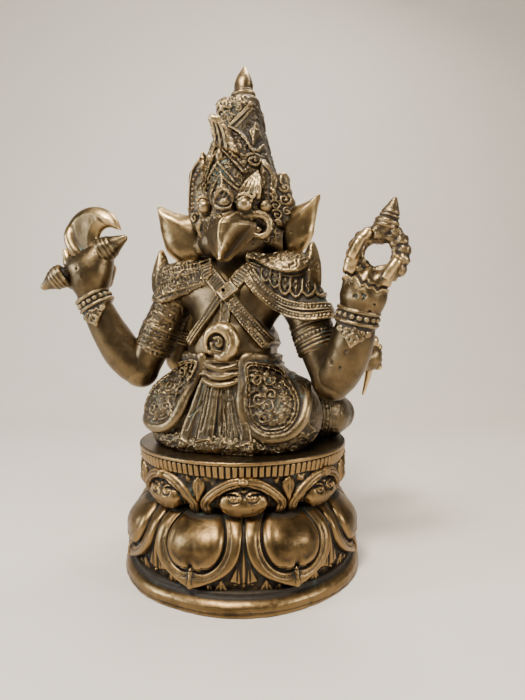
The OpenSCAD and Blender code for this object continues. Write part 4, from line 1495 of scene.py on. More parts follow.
def bands():
    """The armlets on the upper arms and the bracelets on the wrists."""
    for name, a, b, seed in (("left_armlet", (-60, -24, 186), (-68, -26, 166), 71),
                             ("right_armlet", (59, -23, 187), (66, -26, 167), 72)):
        board = Board((-55, -3), (55, 26), 0.35)
        if name[0] == "r":
            for v in (2.0, 5.2, 15.5, 18.5):
                board.line([(-55, v - 3), (0, v), (55, v + 5)], 1.1, 1.2)
            board.chain([(-55, 6.5), (0, 10.2), (55, 15)], 6, 1.2, 3.0)
        else:
            for v in (2.0, 10.5, 18.5):
                board.line([(-55, v), (0, v), (55, v)], 1.2, 1.3)
            for v in (4.5, 7.5, 13, 16):
                board.line([(-55, v + 2), (0, v - 1), (55, v + 3)], 0.7, 1.0)
            board.foliage([(-52, 2), (52, 2), (52, 20), (-52, 20)], 22, 3.4, 0.7, 1.1, 73)
            board.scribble([(-52, 0), (52, 0), (52, 22), (-52, 22)], 300, 5, 0.6, 1.0, 74)
        board.set()
        cuff(name, a, b, (13.8, 13.4), board, seed, 1.2)
    for name, a, b, size, spot in (("left_bracelet", (-102, -38.5, 190), (-112.5, -43, 211), (12.4, 10.8), -1),
                                   ("right_bracelet", (90.5, -39, 174), (96, -42.5, 197), (13.8, 11.6), 1)):
        a, b = np.asarray(a, float), np.asarray(b, float)
        run = float(np.linalg.norm(b - a))
        axis = unit(b - a)
        clay = block([a, b], 20, FINE)
        q = clay.offsets(a)
        along, out = cylinder(q, axis)
        first = unit(np.array((0, -1, 0)) + axis * axis[1])
        turn = np.degrees(np.arctan2(dot(q, np.cross(axis, first)), dot(q, first)))
        radius = size[0] + (size[1] - size[0]) * along / run
        low = run - 12.0 - 13.5 * np.clip(1 - np.abs((turn - spot * 4 + 180) % 360 - 180) / 62, 0, 1)
        body = out - radius - np.where(along > run - 11, 1.4, 1.6)
        clay.d = np.maximum(body, np.maximum(along - run - 1, (low - along) * 0.75)).astype(np.float32)
        board = bracelet_board(run)
        place = around(a, b, size[1] + 1.5)
        for v, step in ((run - 14.5, 0), (run - 18, 2)):
            for k in range(-2, 3):
                if abs(k) < 3 - step / 2:
                    hand = 1 if k > 0 else -1
                    board.spiral((k * 4.6 + spot, v), 2.2, 1.3, 90 + 60 * k, hand, 0.7, 1.3)
        board.leaf(np.array((spot, run - 16.0)), -90, 8.5, 5.5, 1.8)
        board.set()
        emboss(clay, board, place)
        roughen(clay, 0.14, 1.8, 75 + spot)
        cast(clay, name, RELIEF)


def left_hand():
    """A fist: from behind it is a smooth ball with a pit, and the fingers close on the far side."""
    clay = Clay((-140, -68, 204), (-90, -18, 256), FINE)
    clay.rod((-110.5, -41, 203), (-113, -43, 216), 11.0, 12.0)
    clay.egg((-114.5, -43, 229), (19.0, 14.5, 17.5), turn=(0, 8, 0), soft=7)
    clay.egg((-106, -42, 240), (11, 10, 11), soft=6)
    clay.rod((-131, -45, 236), (-134.5, -45, 245), 5.0, 2.6, soft=1.2)
    for k in range(4):
        base = GRIP_LOW + (GRIP_HIGH - GRIP_LOW) * (0.24 + 0.15 * k)
        for p, q in (((0, 6, 9), (0, 14, 2)), ((0, 14, 2), (0, 12, -8)), ((0, 12, -8), (0, 4, -9))):
            clay.rod(base + p, base + q, 4.8, 4.6, soft=1.2)
    clay.rod((-106, -32, 222), (-107, -24, 234), 5.2, 4.4, soft=2)
    spot = clay.throw([(-115.4, -95, 229.5)], (0, 1, 0))[0][0]
    clay.ball(spot, 1.15, carve=True, soft=0.5)
    roughen(clay, 0.14, 5, 81)
    cast(clay, "left_hand", SMOOTH, "bronze_smooth")


def hook_handle():
    """The grip of the hook: ribs and a blunt cone beyond the fist at each end."""
    clay = block([GRIP_LOW, GRIP_HIGH], 22, FINE)
    along = unit(GRIP_HIGH - GRIP_LOW)
    clay.rod(GRIP_LOW + along * 4, GRIP_HIGH - along * 4, 5)
    for end, way, back, size in ((GRIP_LOW, -along, 9.5, 0.88), (GRIP_HIGH, along, 15.5, 0.95)):
        for k in range(4):
            c = end - way * (back - 2.7 * k)
            clay.field(c - 14, c + 14, disc(c, way, (10.6, 10.9, 10.2, 9.2)[k] * size, 1.9), soft=0.5)
        clay.rod(end - way * (back - 9.4), end + way * (23.0 - back) * 0.62, 8.3 * size, 2.9, soft=1.0)
    roughen(clay, 0.12, 3, 83)
    cast(clay, "hook_handle", DARK)


def disc(c, axis, r, half):
    """A round-edged disc, as a distance for Clay.field."""
    axis = unit(axis)

    def distance(x, y, z):
        along, out = cylinder((x - c[0], y - c[1], z - c[2]), axis)
        return (np.sqrt(np.maximum(out - (r - half), 0) ** 2 + along * along) - half).astype(np.float32)
    return distance


def ring(c, axis, r, thick):
    """A ring with a round section, as a distance for Clay.field."""
    def distance(x, y, z):
        along, out = cylinder((x - c[0], y - c[1], z - c[2]), axis)
        return (np.hypot(out - r, along) - thick).astype(np.float32)
    return distance


def hook_blade():
    """A thick crescent, open to the right, with a ridge down its lower left."""
    clay = Clay((-138, -58, 232), (-80, -30, 282), FINE)
    x, y, z = clay.grid()
    outer = (np.hypot((x + 109.5) / 25.0, (z - 255.8) / 23.4) - 1) * 23.5
    below = z - 262.6 + 0.26 * (x + 96)
    bite = np.minimum(np.hypot(x + 95.2, z - 253.2) - 9.4, np.maximum(below, -96 - x))
    flat = np.maximum(outer, -bite)
    half, off = 5.6 * np.sqrt(np.clip(-flat, 0, 6) / 6) + 0.4, np.abs(y + 44)
    clay.d = (np.where(flat < 0, off - half, flat + np.maximum(off - 0.4, 0)) * 0.75).astype(np.float32)
    ridge = curve([(-128, -47, 262), (-127.5, -49.0, 255), (-124, -49.5, 247), (-119, -49, 241)], 8)
    for p, q in zip(ridge[:-1], ridge[1:]):
        clay.rod(p, q, 3.4, 3.8, soft=2.5)
    roughen(clay, 0.14, 6, 85)
    cast(clay, "hook_blade", SMOOTH, "bronze_smooth")


def right_hand():
    """A hand with a worn, jagged knuckle line; two fingers stand up to hold the ring."""
    clay = Clay((78, -66, 184), (132, -22, 254), FINE)
    clay.rod((95.0, -42, 190), (97.5, -43.5, 202), 12.5, 13.8)
    clay.egg((99.0, -44, 206), (15.2, 12.5, 16), turn=(0, -3, 0), soft=5)
    clay.egg((99.5, -44, 213), (14.2, 9.5, 7.0), turn=(0, 14, 0), soft=4)
    for points, radii in (
            ([(89.5, -46, 212), (90.4, -49.5, 224), (94.0, -51.5, 236), (100.8, -50.5, 244.5)],
             (4.8, 4.6, 4.2, 3.6)),
            ([(109.5, -45, 207), (112.8, -49, 214.5), (116.6, -50.5, 221.5), (120.2, -49.5, 227)],
             (4.8, 4.4, 4.0, 3.4)),
            ([(97.5, -46, 208), (100.5, -50, 215), (102.0, -48.5, 219.0)], (4.4, 4.4, 4.0)),
            ([(104.5, -46, 207), (107.2, -49.5, 213), (108.8, -48, 217)], (4.4, 4.2, 3.8))):
        clay.tube(curve(points, 8), spread(radii, 8), soft=1.0)
    clay.rod((92, -34, 206), (97, -28, 224), 5.6, 4.4, soft=3)
    step = [(84.0, 217.5), (88, 219.5), (91.5, 217), (94, 219), (96.5, 215.5), (98.5, 211.5), (101, 213),
            (103, 210), (106, 210.5), (108, 207.5), (111, 209.5), (115, 208.5)]
    board = Board((80, 186), (130, 252), 0.3)
    board.line(step, 1.0, 1.7, cut=True)
    board.line(beside(np.array(step, float), -1.2), 1.0, 0.8)
    for spot, r in (((94.2, 203.5), 1.6), ((98.6, 204.6), 1.0), ((100.2, 203.4), 1.3), ((99.2, 201.6), 1.0),
                    ((99.5, 192.5), 0.8), ((103, 193.5), 1.1), ((91, 212), 0.6), ((106, 198), 0.7)):
        board.pit(spot, r, 1.6)
    board.set()
    for p, turn in (((94.5, 235.0), 62), ((116.6, 220.6), 56)):
        a = math.radians(turn)
        way = np.array((math.cos(a), math.sin(a)))
        board.plate(strip([p - way * 7.5, p + way * 7.5], 2.5), 1.1, 0.6)
    emboss(clay, board, from_rear(-44))
    roughen(clay, 0.14, 5, 87)
    cast(clay, "right_hand", SMOOTH, "bronze_smooth")


def rosary():
    """A fat ring of lumpy beads with a cone on top that leans right."""
    clay = Clay((80, -66, 206), (134, -26, 262), FINE)
    draw = np.random.default_rng(90)
    beads = 17
    for i in range(beads):
        a = 2 * math.pi * i / beads + 0.1
        way = np.array((math.cos(a), 0, math.sin(a)))
        r = 13.6 + draw.uniform(-0.5, 0.7) + (1.4 if way[0] > 0.2 else 0)
        c = RING + way * r + (0, draw.uniform(-0.8, 0.8), 0)
        side = np.array((-way[2], 0, way[0]))
        clay.rod(c - way * 1.8, c + way * 1.8, 4.4, 4.8, soft=0.8)
        lump = c + way * 2.4 - side + (0, -2.2, 0)
        clay.rod(lump, c + way * 1.4 + side * 1.2 + (0, -3.0, 0), 2.7, 2.5, soft=0.6)
        clay.ball(c - way * 3.4 + side * 1.5 + (0, -2.0, 0), 2.2, soft=0.8)
    x, _, z = clay.offsets(RING)
    clay.d = -soft_min(-clay.d, np.hypot(x * 1.08, z * 0.96) - 7.3, 1.0)
    clay.rod((109.5, -45, 245), (112.5, -46, 250), 7.0, 7.4, soft=1.5)
    roughen(clay, 0.3, 1.8, 91)
    cast(clay, "rosary_ring", DARK)
    foot, tip = np.array((112.6, -46.5, 249.0)), np.array((118.4, -47.5, 266.4))
    clay = block([foot, tip], 14, FINE)
    axis = unit(tip - foot)
    for h, r in ((0.3, 8.0), (3.2, 8.3)):
        c = foot + axis * h
        clay.field(c - 12, c + 12, disc(c, axis, r, 1.5))
    line = curve([foot + axis * 4, foot + axis * 9 + (0.3, 0, 0), tip], 9)
    size = np.interp(np.linspace(0, 1, 9), [0, 0.25, 0.6, 1], [7.6, 6.5, 4.1, 1.6])
    clay.tube(line, size)
    for h in (6.0, 8.4):
        c = foot + axis * h
        clay.field(c - 12, c + 12, ring(c, axis, 7.7 - h * 0.16, 0.6), carve=True, soft=0.6)
    roughen(clay, 0.14, 3, 92)
    cast(clay, "rosary_cone", DARK, "bronze_smooth")


def front_arms():
    for side, s, elbow, wrist, palm in (("left", -1, (-63, 14, 158), (-38, 46, 157), (-26, 54, 160)),
                                        ("right", 1, (68, 14, 156), (90, 42, 156), (97, 50, 160))):
        shoulder = (s * 44, 2, 202)
        upper = block([shoulder, elbow], 18, FINE + 0.1)
        upper.rod(shoulder, elbow, 13.5, 12)
        upper.ball(elbow, 12.3, soft=2)
        board = Board((-45, 0), (45, 50), 0.5)
        board.chain([(-45, 24), (45, 24)], 5, 1.2)
        board.line([(-45, 29), (45, 29)], 1.2, 1.2).line([(-45, 19), (45, 19)], 1.2, 1.2)
        for u in (-21, 0, 21):
            board.leaf(np.array((u, 20.0)), -90, 7, 6, 1.5)
        board.set()
        emboss(upper, board, around(shoulder, elbow, 13, (0, 1, 0)))
        cast(upper, f"front_{side}_upper_arm", SMOOTH, "bronze_smooth")
        fore = block([elbow, wrist], 18, FINE + 0.1)
        fore.rod(elbow, wrist, 12.4, 9.4, soft=2)
        run = float(np.linalg.norm(np.array(wrist) - elbow))
        board = Board((-40, 0), (40, 60), 0.4)
        board.line([(-40, run - 2), (40, run - 2)], 1.3, 1.6).line([(-40, run - 8), (40, run - 8)], 1.3, 1.6)
        board.beads([(-40, run - 5), (40, run - 5)], 1.6, 1.6, 3.4).set()
        emboss(fore, board, around(elbow, wrist, 10, (0, 0, 1)))
        cast(fore, f"front_{side}_forearm", SMOOTH, "bronze_smooth")
        hand = block([wrist, palm], 26, FINE)
        hand.rod(wrist, palm, 9.4, 9.4)
        if s < 0:
            hand.egg((-26, 57, 160), (13, 10, 6.5), soft=4)
            for k in range(4):
                a = math.radians(20 + 40 * k)
                out = np.array((math.cos(a), math.sin(a), 0))
                base = np.array((-25, 56, 161)) + out * 9
                hand.rod(base, base + out * 8 + (0, 0, 7), 3.8, 3.2, soft=1.2)
            hand.rod((-36, 50, 162), (-38, 60, 170), 3.8, 3.2, soft=1.5)
        else:
            hand.egg((98, 50, 160), (10.5, 9, 12), soft=4)
            for k in range(4):
                c = np.array((99.5, 50, 168.5 - 5.4 * k))
                hand.rod(c + (6, 2, 0), c + (4, 10, 0), 3.6, 3.4, soft=1.0)
                hand.rod(c + (4, 10, 0), c + (-5, 10.5, 0), 3.4, 3.2, soft=1.0)
            hand.rod((92, 46, 168), (96, 58, 172), 3.8, 3.2, soft=1.5)
        roughen(hand, 0.12, 4, 95)
        cast(hand, f"front_{side}_hand", SMOOTH, "bronze_smooth")
    tusk = block([(100, 50, 174), (93, 50, 127)], 8, FINE)
    line = curve([(100.5, 51, 174), (99, 52, 158), (96.5, 51, 142), (93, 50, 128)], 12)
    tusk.tube(line, 5.6 - 0.4 * np.arange(12))
    cast(tusk, "broken_tusk", SMOOTH, "bronze_smooth")


def bowl():
    """A round bowl on a small foot, heaped with balls of sweetmeat."""
    clay = Clay((-46, 36, 162), (-2, 80, 186), FINE)
    x, y, z = clay.offsets((-24, 58, 0))
    out = np.hypot(x, y)
    radius = np.interp(z, [162, 166, 168, 172, 177, 180], [7, 7, 9, 14.5, 16.2, 16.6])
    wall = np.maximum(np.maximum(out - radius, z - 178.5), 163.0 - z)
    clay.d = np.maximum(wall, -np.maximum(out - radius + 2.4, 171.5 - z)).astype(np.float32)
    board = Board((-55, 160), (55, 182), 0.4)
    board.line([(-55, 176.5), (55, 176.5)], 1.3, 1.1).beads([(-55, 173), (55, 173)], 1.1, 0.9, 2.6).set()
    emboss(clay, board, around((-24, 58, 0), (-24, 58, 10), 16.5, (0, 1, 0)))
    cast(clay, "sweets_bowl", SMOOTH, "bronze_smooth")
    sweets = Clay((-44, 38, 172), (-4, 78, 198), FINE)
    for r, z, n in ((9.6, 177.5, 8), (5.0, 183.5, 4), (0.0, 188.5, 1)):
        for i in range(n):
            a = 2 * math.pi * i / n + z
            sweets.ball((-24 + r * math.cos(a), 58 + r * math.sin(a), z), 4.4, soft=0.4)
    cast(sweets, "sweets", SMOOTH, "bronze_smooth")


def shins():
    """The crossed legs in front: trouser cuffs with beads, and bare feet with toes."""
    for side, s, lift in (("left", -1, 0), ("right", 1, 13)):
        knee, ankle = (s * 64, 45, 111 + lift * 0.6), (s * 19, 63, 108.5 + lift)
        foot = (-s * 9, 65, 107 + lift)
        clay = block([knee, ankle, foot], 19, FINE + 0.1)
        clay.rod(knee, ankle, 14, 10)
        clay.rod(ankle, foot, 9, 7.5, soft=3)
        clay.egg((-s * 14, 66, 106 + lift), (9, 8, 6.5), soft=3)
        for k in range(5):
            c = np.array((-s * (19 + 1.2 * (2 - abs(k - 1))), 61.5 + 3.0 * k, 106.5 + lift))
            clay.rod(c, c + (-s * (5.0 - 0.5 * k), 0, 0), 2.5 - 0.15 * k, 2.2 - 0.15 * k, soft=0.6)
        run = float(np.linalg.norm(np.array(ankle) - knee))
        board = Board((-45, -5), (45, 60), 0.5)
        board.chain([(-45, run - 6), (45, run - 6)], 5, 1.4)
        board.line([(-45, run - 12), (45, run - 12)], 1.0, 1.0)
        for v in (6, 16, 26):
            board.line([(-45, v + 3), (0, v), (45, v + 3)], 1.2, 0.8)
        board.set()
        emboss(clay, board, around(knee, ankle, 12, (0, 1, 0)))
        roughen(clay, 0.15, 3, 97)
        cut_floor(clay)
        cast(clay, side + "_shin", SMOOTH, "bronze_smooth")


# ---------------------------------------------------------------- head, bird mask and crown

CROWN_FOOT = np.array((0.0, -13, 279))
LEAN = math.radians(7)
CROWN_AXIS = np.array((0.0, math.sin(LEAN), math.cos(LEAN)))


def elephant_head():
    clay = Clay((-44, -44, 224), (44, 46, 300), FINE + 0.1)
    for s in (-1, 1):
        clay.egg((s * 11, -6, 264), (24, 27, 24), soft=8)
        clay.egg((s * 9, 18, 275), (12, 10, 11), soft=8)
        clay.egg((s * 17, 16, 253), (11, 12, 11), soft=6)
    clay.egg((0, 18, 254), (15, 14, 16), soft=8)
    clay.egg((0, -26, 250), (28, 14, 16), soft=8)
    for s in (-1, 1):
        eye = clay.throw([(s * 17.5, 90, 264)], (0, -1, 0))[0][0]
        clay.ball(eye + (0, 0.5, 0), 4.8, soft=2, carve=True)
        clay.ball(eye + (0, -1.6, 0), 3.4, soft=0.3)
        for middle in ((0, 1.6, 4.6), (0, 1.4, -4.0)):
            lid = [eye + (-6 * s, 0, 0.5), eye + middle, eye + (6 * s, -1.5, 0.8)]
            clay.tube(curve(lid, 8), 1.2, soft=0.6)
        brow = [eye + (-8 * s, 1, 5), eye + (0, 2.2, 8.6), eye + (9 * s, -2, 6)]
        clay.tube(curve(brow, 8), 1.8, soft=1.5)
    roughen(clay, 0.15, 4, 101)
    cast(clay, "head", RELIEF, "bronze_smooth")


def trunk():
    """The trunk, which hangs to its left and dips into the bowl, with creases across it."""
    line = curve([(0, 26, 252), (0, 36, 238), (-1, 42, 222), (-4, 45, 206), (-11, 50, 193), (-19, 57, 187),
                  (-26, 60, 190)], 40)
    size = np.interp(np.linspace(0, 1, 40), [0, 0.25, 0.6, 1], [13.0, 11.2, 9.2, 5.6])
    clay = block(line, 16, FINE)
    clay.tube(line, size)
    for i in range(3, 39, 2):
        crease = ring(line[i], unit(line[i] - line[i - 1]), size[i] + 0.2, 0.75)
        clay.field(line[i] - 16, line[i] + 16, crease, carve=True, soft=0.8)
    clay.ball(line[-1] + (-1.5, 1, 2.5), 2.0, carve=True, soft=0.8)
    roughen(clay, 0.12, 3, 102)
    cast(clay, "trunk", SMOOTH, "bronze_smooth")


def tusks():
    clay = Clay((-28, 18, 222), (28, 50, 262), FINE)
    clay.tube(curve([(-12, 25, 249), (-16, 34, 240), (-20, 42, 231)], 8), np.linspace(5.2, 1.6, 8))
    clay.tube(curve([(12, 25, 249), (15, 32, 243), (17.5, 37, 238.5)], 8), np.linspace(5.2, 3.6, 8))
    cast(clay, "tusks", SMOOTH, "bronze_smooth")


def ears():
    """Leaf-shaped ears: each is domed at the back and hollowed at the front, and ends in a point."""
    shapes = {
        -1: [(-26, 281), (-40, 276.5), (-52, 278.5), (-66.5, 283.5), (-66, 268), (-63.5, 256), (-59.5, 245),
             (-48, 236), (-34, 236), (-24, 246)],
        1: [(26, 279), (40, 277), (53, 278.5), (65.5, 283), (63.5, 271.5), (62, 263), (58.5, 249), (47, 238),
            (34, 235), (24, 244)],
    }
    for s, name in ((-1, "left_ear"), (1, "right_ear")):
        clay = Clay((min(s * 20, s * 69), -34, 232), (max(s * 20, s * 69), 12, 287), FINE)
        depth = clay.depth(curve(shapes[s], closed=True))
        x, y, z = clay.grid()
        out = np.abs(x)
        bulge = 10.5 * np.sqrt(np.clip(1 - (1 - np.clip(depth, 0, 15) / 15) ** 2, 0, 1))
        slope = (z - 281 + (67 - out) * 0.62) / 5.5
        ridge = 2.2 * np.exp(-slope ** 2) * smooth(34, 56, out) * smooth(0, 3, depth)
        middle = -7 - 0.20 * np.clip(out - 24, 0, 60)
        back = middle - bulge - ridge
        front = middle + 1.6 - 0.42 * bulge
        clay.d = np.maximum(np.maximum(back - y, y - front) * 0.75, -depth * 0.9 + 0.5).astype(np.float32)
        clay.rod((s * 26, -6, 268), (s * 30, -8, 250), 8, soft=3)
        roughen(clay, 0.14, 5, 103 + s)
        cast(clay, name, SMOOTH, "bronze_smooth")


# Height along the axis and radius
CROWN_PROFILE = [(0, 29.5), (5, 31), (12, 30.2), (20, 29.2), (27, 28.0), (35, 25.6), (44, 23.2), (52, 21.0),
                 (62, 18.3), (70, 17.0), (76, 16.0), (82, 14.9), (86, 14.2), (90, 13.4), (93, 12.6)]
FINIAL_PROFILE = [(-5, 10.6), (-1.6, 10.8), (-0.2, 11.6), (1.4, 11.2), (2.0, 9.6), (3.4, 9.4), (4.6, 10.2),
                  (6.0, 9.6), (6.6, 8.0), (7.4, 8.2), (8.2, 8.0), (8.6, 7.3), (10.0, 7.5), (13.0, 7.7),
                  (16, 7.1), (19.5, 5.9), (23, 4.2), (26.5, 2.4), (29.3, 0.7)]


def crown_body():
    """A tall tiered crown: at the back, crossed bands, a pointed arch and a scroll; in front, a diadem."""
    clay = Clay((-38, -50, 274), (38, 34, 376), FINE)
    q = clay.offsets(CROWN_FOOT)
    along, out = cylinder(q, CROWN_AXIS)
    wall = out - np.interp(along, *np.array(CROWN_PROFILE, float).T)
    clay.d = (np.maximum(np.maximum(wall, along - 84.5 - 0.25 * q[1]), 1 - along) * 0.94).astype(np.float32)
    clay.egg((-9.5, -15, 354), (7.5, 8, 8), soft=4)
    board = Board((-36, 276), (38, 378), 0.3)
    arch = [(-4, 334), (2.5, 342), (8.5, 350), (14, 358.5), (18, 351), (21, 342), (24, 333)]
    low_v = [(-1, 335), (5.5, 330.5), (11.5, 324), (18.5, 314.5), (23.5, 324), (27, 332)]
    for line, half, tall in ((arch, 1.7, 2.4), (low_v, 1.6, 2.2)):
        board.line(curve(line), half, tall)
    inner = [(3, 335), (9, 345), (14.3, 353), (18.3, 343), (20.8, 334)]
    board.line(curve(inner), 0.9, 1.4)
    board.set()
    diamond = [(16.8, 341), (12.6, 331.5), (16.8, 320.5), (20.8, 331)]
    board.plate(diamond, 2.6, 2.2)
    board.line(diamond[:1] + diamond[2:3], 0.8, 0.8).set()
    for k, (patch, count) in enumerate((
            ([(-18, 338), (-2, 340), (8, 354), (10, 362), (-14, 362)], 10),
            ([(-14, 322), (-2, 330), (6, 327), (15, 313), (18, 300), (0, 300), (-12, 308)], 22),
            ([(19, 311), (27, 326), (34, 318), (34, 300), (24, 298)], 10),
            ([(-30, 286), (-16, 300), (-10, 330), (-20, 336), (-32, 310)], 20),
            ([(21, 330), (27, 334), (23, 356), (17, 366), (15, 360)], 8))):
        board.foliage(patch, count, 4.2, 0.85, 1.7, 111 + k)
        board.scribble(patch, count * 5, 4.5, 0.7, 1.2, 131 + k)
    for k in range(6):
        board.leaf(np.array((-14 + 5.0 * k, 363)), -88 + 3 * k, 8, 5.4, 1.4)
    board.spiral((19.2, 306.5), 6.0, 1.5, 150, -1, 1.5, 2.6)
    board.line(curve([(14, 311), (18, 311.8), (23.5, 307), (27, 304), (33, 303)]), 1.4, 2.2)
    board.set()
    emboss(clay, board, from_rear(-16))
    wrap = Board((-90, -4), (90, 98), 0.4)
    for v, size in ((3, 2.6), (24, 1.8), (43, 1.6), (61, 1.5), (79, 1.3)):
        wrap.line([(-90, v), (90, v)], size * 0.8, size * 0.8)
        wrap.beads([(-90, v + size * 1.5), (90, v + size * 1.5)], size * 0.6, size * 0.75, size * 1.5)
    for v, tall, pitch in ((8, 15, 14.0), (28, 14, 14.0), (46, 14, 14.0), (64, 14, 14.0)):
        count = int(round(2 * math.pi * 22 / pitch))
        for k in range(count):
            u = (k - count / 2) * 2 * math.pi * 22 / count
            wrap.leaf(np.array((u, v)), 90, tall, 9.5, 1.8)
            wrap.dot((u, v + 4.5), 2.0, 2.2)
            wrap.spiral((u + pitch / 2, v + 4), 3.0, 1.3, 90, 1, 0.8, 1.3)
    wrap.set()
    place = around(CROWN_FOOT, CROWN_FOOT + CROWN_AXIS, 22.0, (0, 1, 0))
    emboss(clay, wrap, lambda p: (*place(p)[:2], smooth(-16, -6, p[:, 1] - (p[:, 2] - 279) * 0.12)))
    clay.stick(diadem(), 1.0)
    roughen(clay, 0.22, 1.6, 117)
    cast(clay, "crown_body", RELIEF)


def diadem():
    """The pointed plate on the front of the crown."""
    clay = Clay((-30, 8, 276), (30, 34, 322), FINE)
    plate = curve([(-26, 279), (26, 279), (24, 292), (15, 302), (7, 310), (0, 319), (-7, 310), (-15, 302),
                   (-24, 292)], closed=True)
    depth = clay.depth(plate)
    x, y, z = clay.grid()
    off = np.abs(y - (16.5 - x ** 2 * 0.018 + 0.12 * (z - 290)))
    clay.d = (np.maximum(off - 2.2 - np.clip(depth, 0, 6) * 0.25, -depth) * 0.8).astype(np.float32)
    face = Board((-30, 274), (30, 324), 0.35)
    face.line(curve(plate + unit(np.array((0, 292.0)) - plate) * 2.0, closed=True), 1.2, 1.4)
    face.beads(plate + unit(np.array((0, 292.0)) - plate) * 4.8, 0.9, 1.1, 2.3)
    face.leaf(np.array((0, 296.0)), 90, 15, 9, 1.8)
    for s in (-1, 1):
        face.spiral((s * 8, 290), 5.0, 1.5, 90, s, 1.0, 1.5).spiral((s * 17, 288), 4.0, 1.4, 90, s, 0.9, 1.4)
    face.dot((0, 289), 4.2, 3.2)
    face.set()
    emboss(clay, face, from_front(8))
    return clay


def crown_finial():
    clay = Clay((-13, -16, 366), (15, 14, 397.5), 0.45)
    foot = CROWN_FOOT + CROWN_AXIS * 88
    foot[0] += 0.6
    q = clay.offsets(foot)
    along, out = cylinder(q, CROWN_AXIS)
    lean = along - 0.25 * q[1] * np.clip((12 - along) / 5, 0, 1)
    wall = out - np.interp(lean, *np.array(FINIAL_PROFILE, float).T)
    clay.d = np.maximum(np.maximum(wall, along - 29.2) * 0.8, -along - 5).astype(np.float32)
    roughen(clay, 0.1, 3, 118)
    cast(clay, "crown_finial", SMOOTH, "bronze_smooth")


def crown_flanges():
    """The side plates of the crown: a fan of flutes, a scroll, pearls and a chain of curls."""
    outlines = {
        1: [(24, 306), (29, 304.5), (34.5, 298.5), (41, 298.5), (42.5, 287), (45.8, 276), (43.5, 266),
            (36, 258), (24, 256), (22, 280)],
        -1: [(-22, 317), (-26, 312), (-32, 307.5), (-36.5, 303), (-37, 287), (-38, 275), (-34, 265),
             (-24, 258), (-18, 280)],
    }
    for s, name in ((1, "right_crown_flange"), (-1, "left_crown_flange")):
        o = np.array(outlines[s], float)
        low, high = o.min(axis=0), o.max(axis=0)
        clay = Clay((low[0] - 1, -42, low[1] - 1), (high[0] + 1, -4, high[1] + 1), FINE)
        depth = clay.depth(curve(outlines[s], closed=True))
        x, y, _ = clay.grid()
        off = np.abs(y - np.interp(np.abs(x), [20, 30, 38, 46], [-28, -25, -20, -15]))
        clay.d = (np.maximum(off - 4.2 - np.clip(depth, 0, 3) * 0.6, -depth) * 0.8).astype(np.float32)
        board = Board(low - 3, high + 3, 0.3)
        if s > 0:
            for k in range(4):
                board.line(curve([(25 + k * 0.6, 305.5 - k), (29 + k * 1.4, 302 - 2.0 * k),
                                  (32 + k * 1.0, 294 - 1.5 * k), (31.5 + k * 0.6, 284)]), 1.05, 1.8)
            board.spiral((40.5, 278.5), 4.6, 1.5, 60, -1, 1.0, 1.9)
            board.spiral((40.2, 287.5), 3.4, 1.3, 200, 1, 0.9, 1.6)
            board.line(curve([(39, 297), (37.5, 292), (40, 288)]), 1.0, 1.6)
            for x, z, r in ((34.6, 273.5, 3.8), (35.6, 266.6, 4.0), (33.5, 279.5, 2.6), (36.5, 260.8, 2.4)):
                board.spiral((x, z), r, 1.35, 150, -1, 1.0, 2.2)
            board.spiral((42, 270), 3.0, 1.2, 90, 1, 0.8, 1.4)
        else:
            board.line(curve([(-24, 312), (-31, 304), (-34.5, 290), (-35, 276)]), 1.2, 1.8)
            board.beads([(-22, 305), (-29, 298), (-31, 286), (-31.5, 272)], 1.3, 1.8, 3.4)
            board.spiral((-29, 268), 4, 1.3, 30, 1, 1.0, 1.8)
        board.set()
        emboss(clay, board, right_through)
        if s > 0:
            clay.ball((27.6, -33.5, 272), 4.7, soft=0.6)
            clay.ball((33, -31, 283.2), 2.2, soft=0.3)
        roughen(clay, 0.2, 1.6, 119 + s)
        cast(clay, name, RELIEF)


def fluted(clay, root, tip, width, bend, count, size, soft=0.4):
    """A horn of side-by-side rolls that fan from a wide root and meet at the tip."""
    root, tip, width, bend = (np.asarray(v, float) for v in (root, tip, width, bend))
    for k in range(count):
        t = k / (count - 1) - 0.5
        line = curve([root + width * t, root * 0.6 + tip * 0.4 + bend + width * t * 0.72,
                      tip * 0.8 + root * 0.2 + bend * 0.6 + width * t * 0.28, tip], 9)
        clay.tube(line, size * (1 - 0.085 * np.arange(9)), soft=soft)


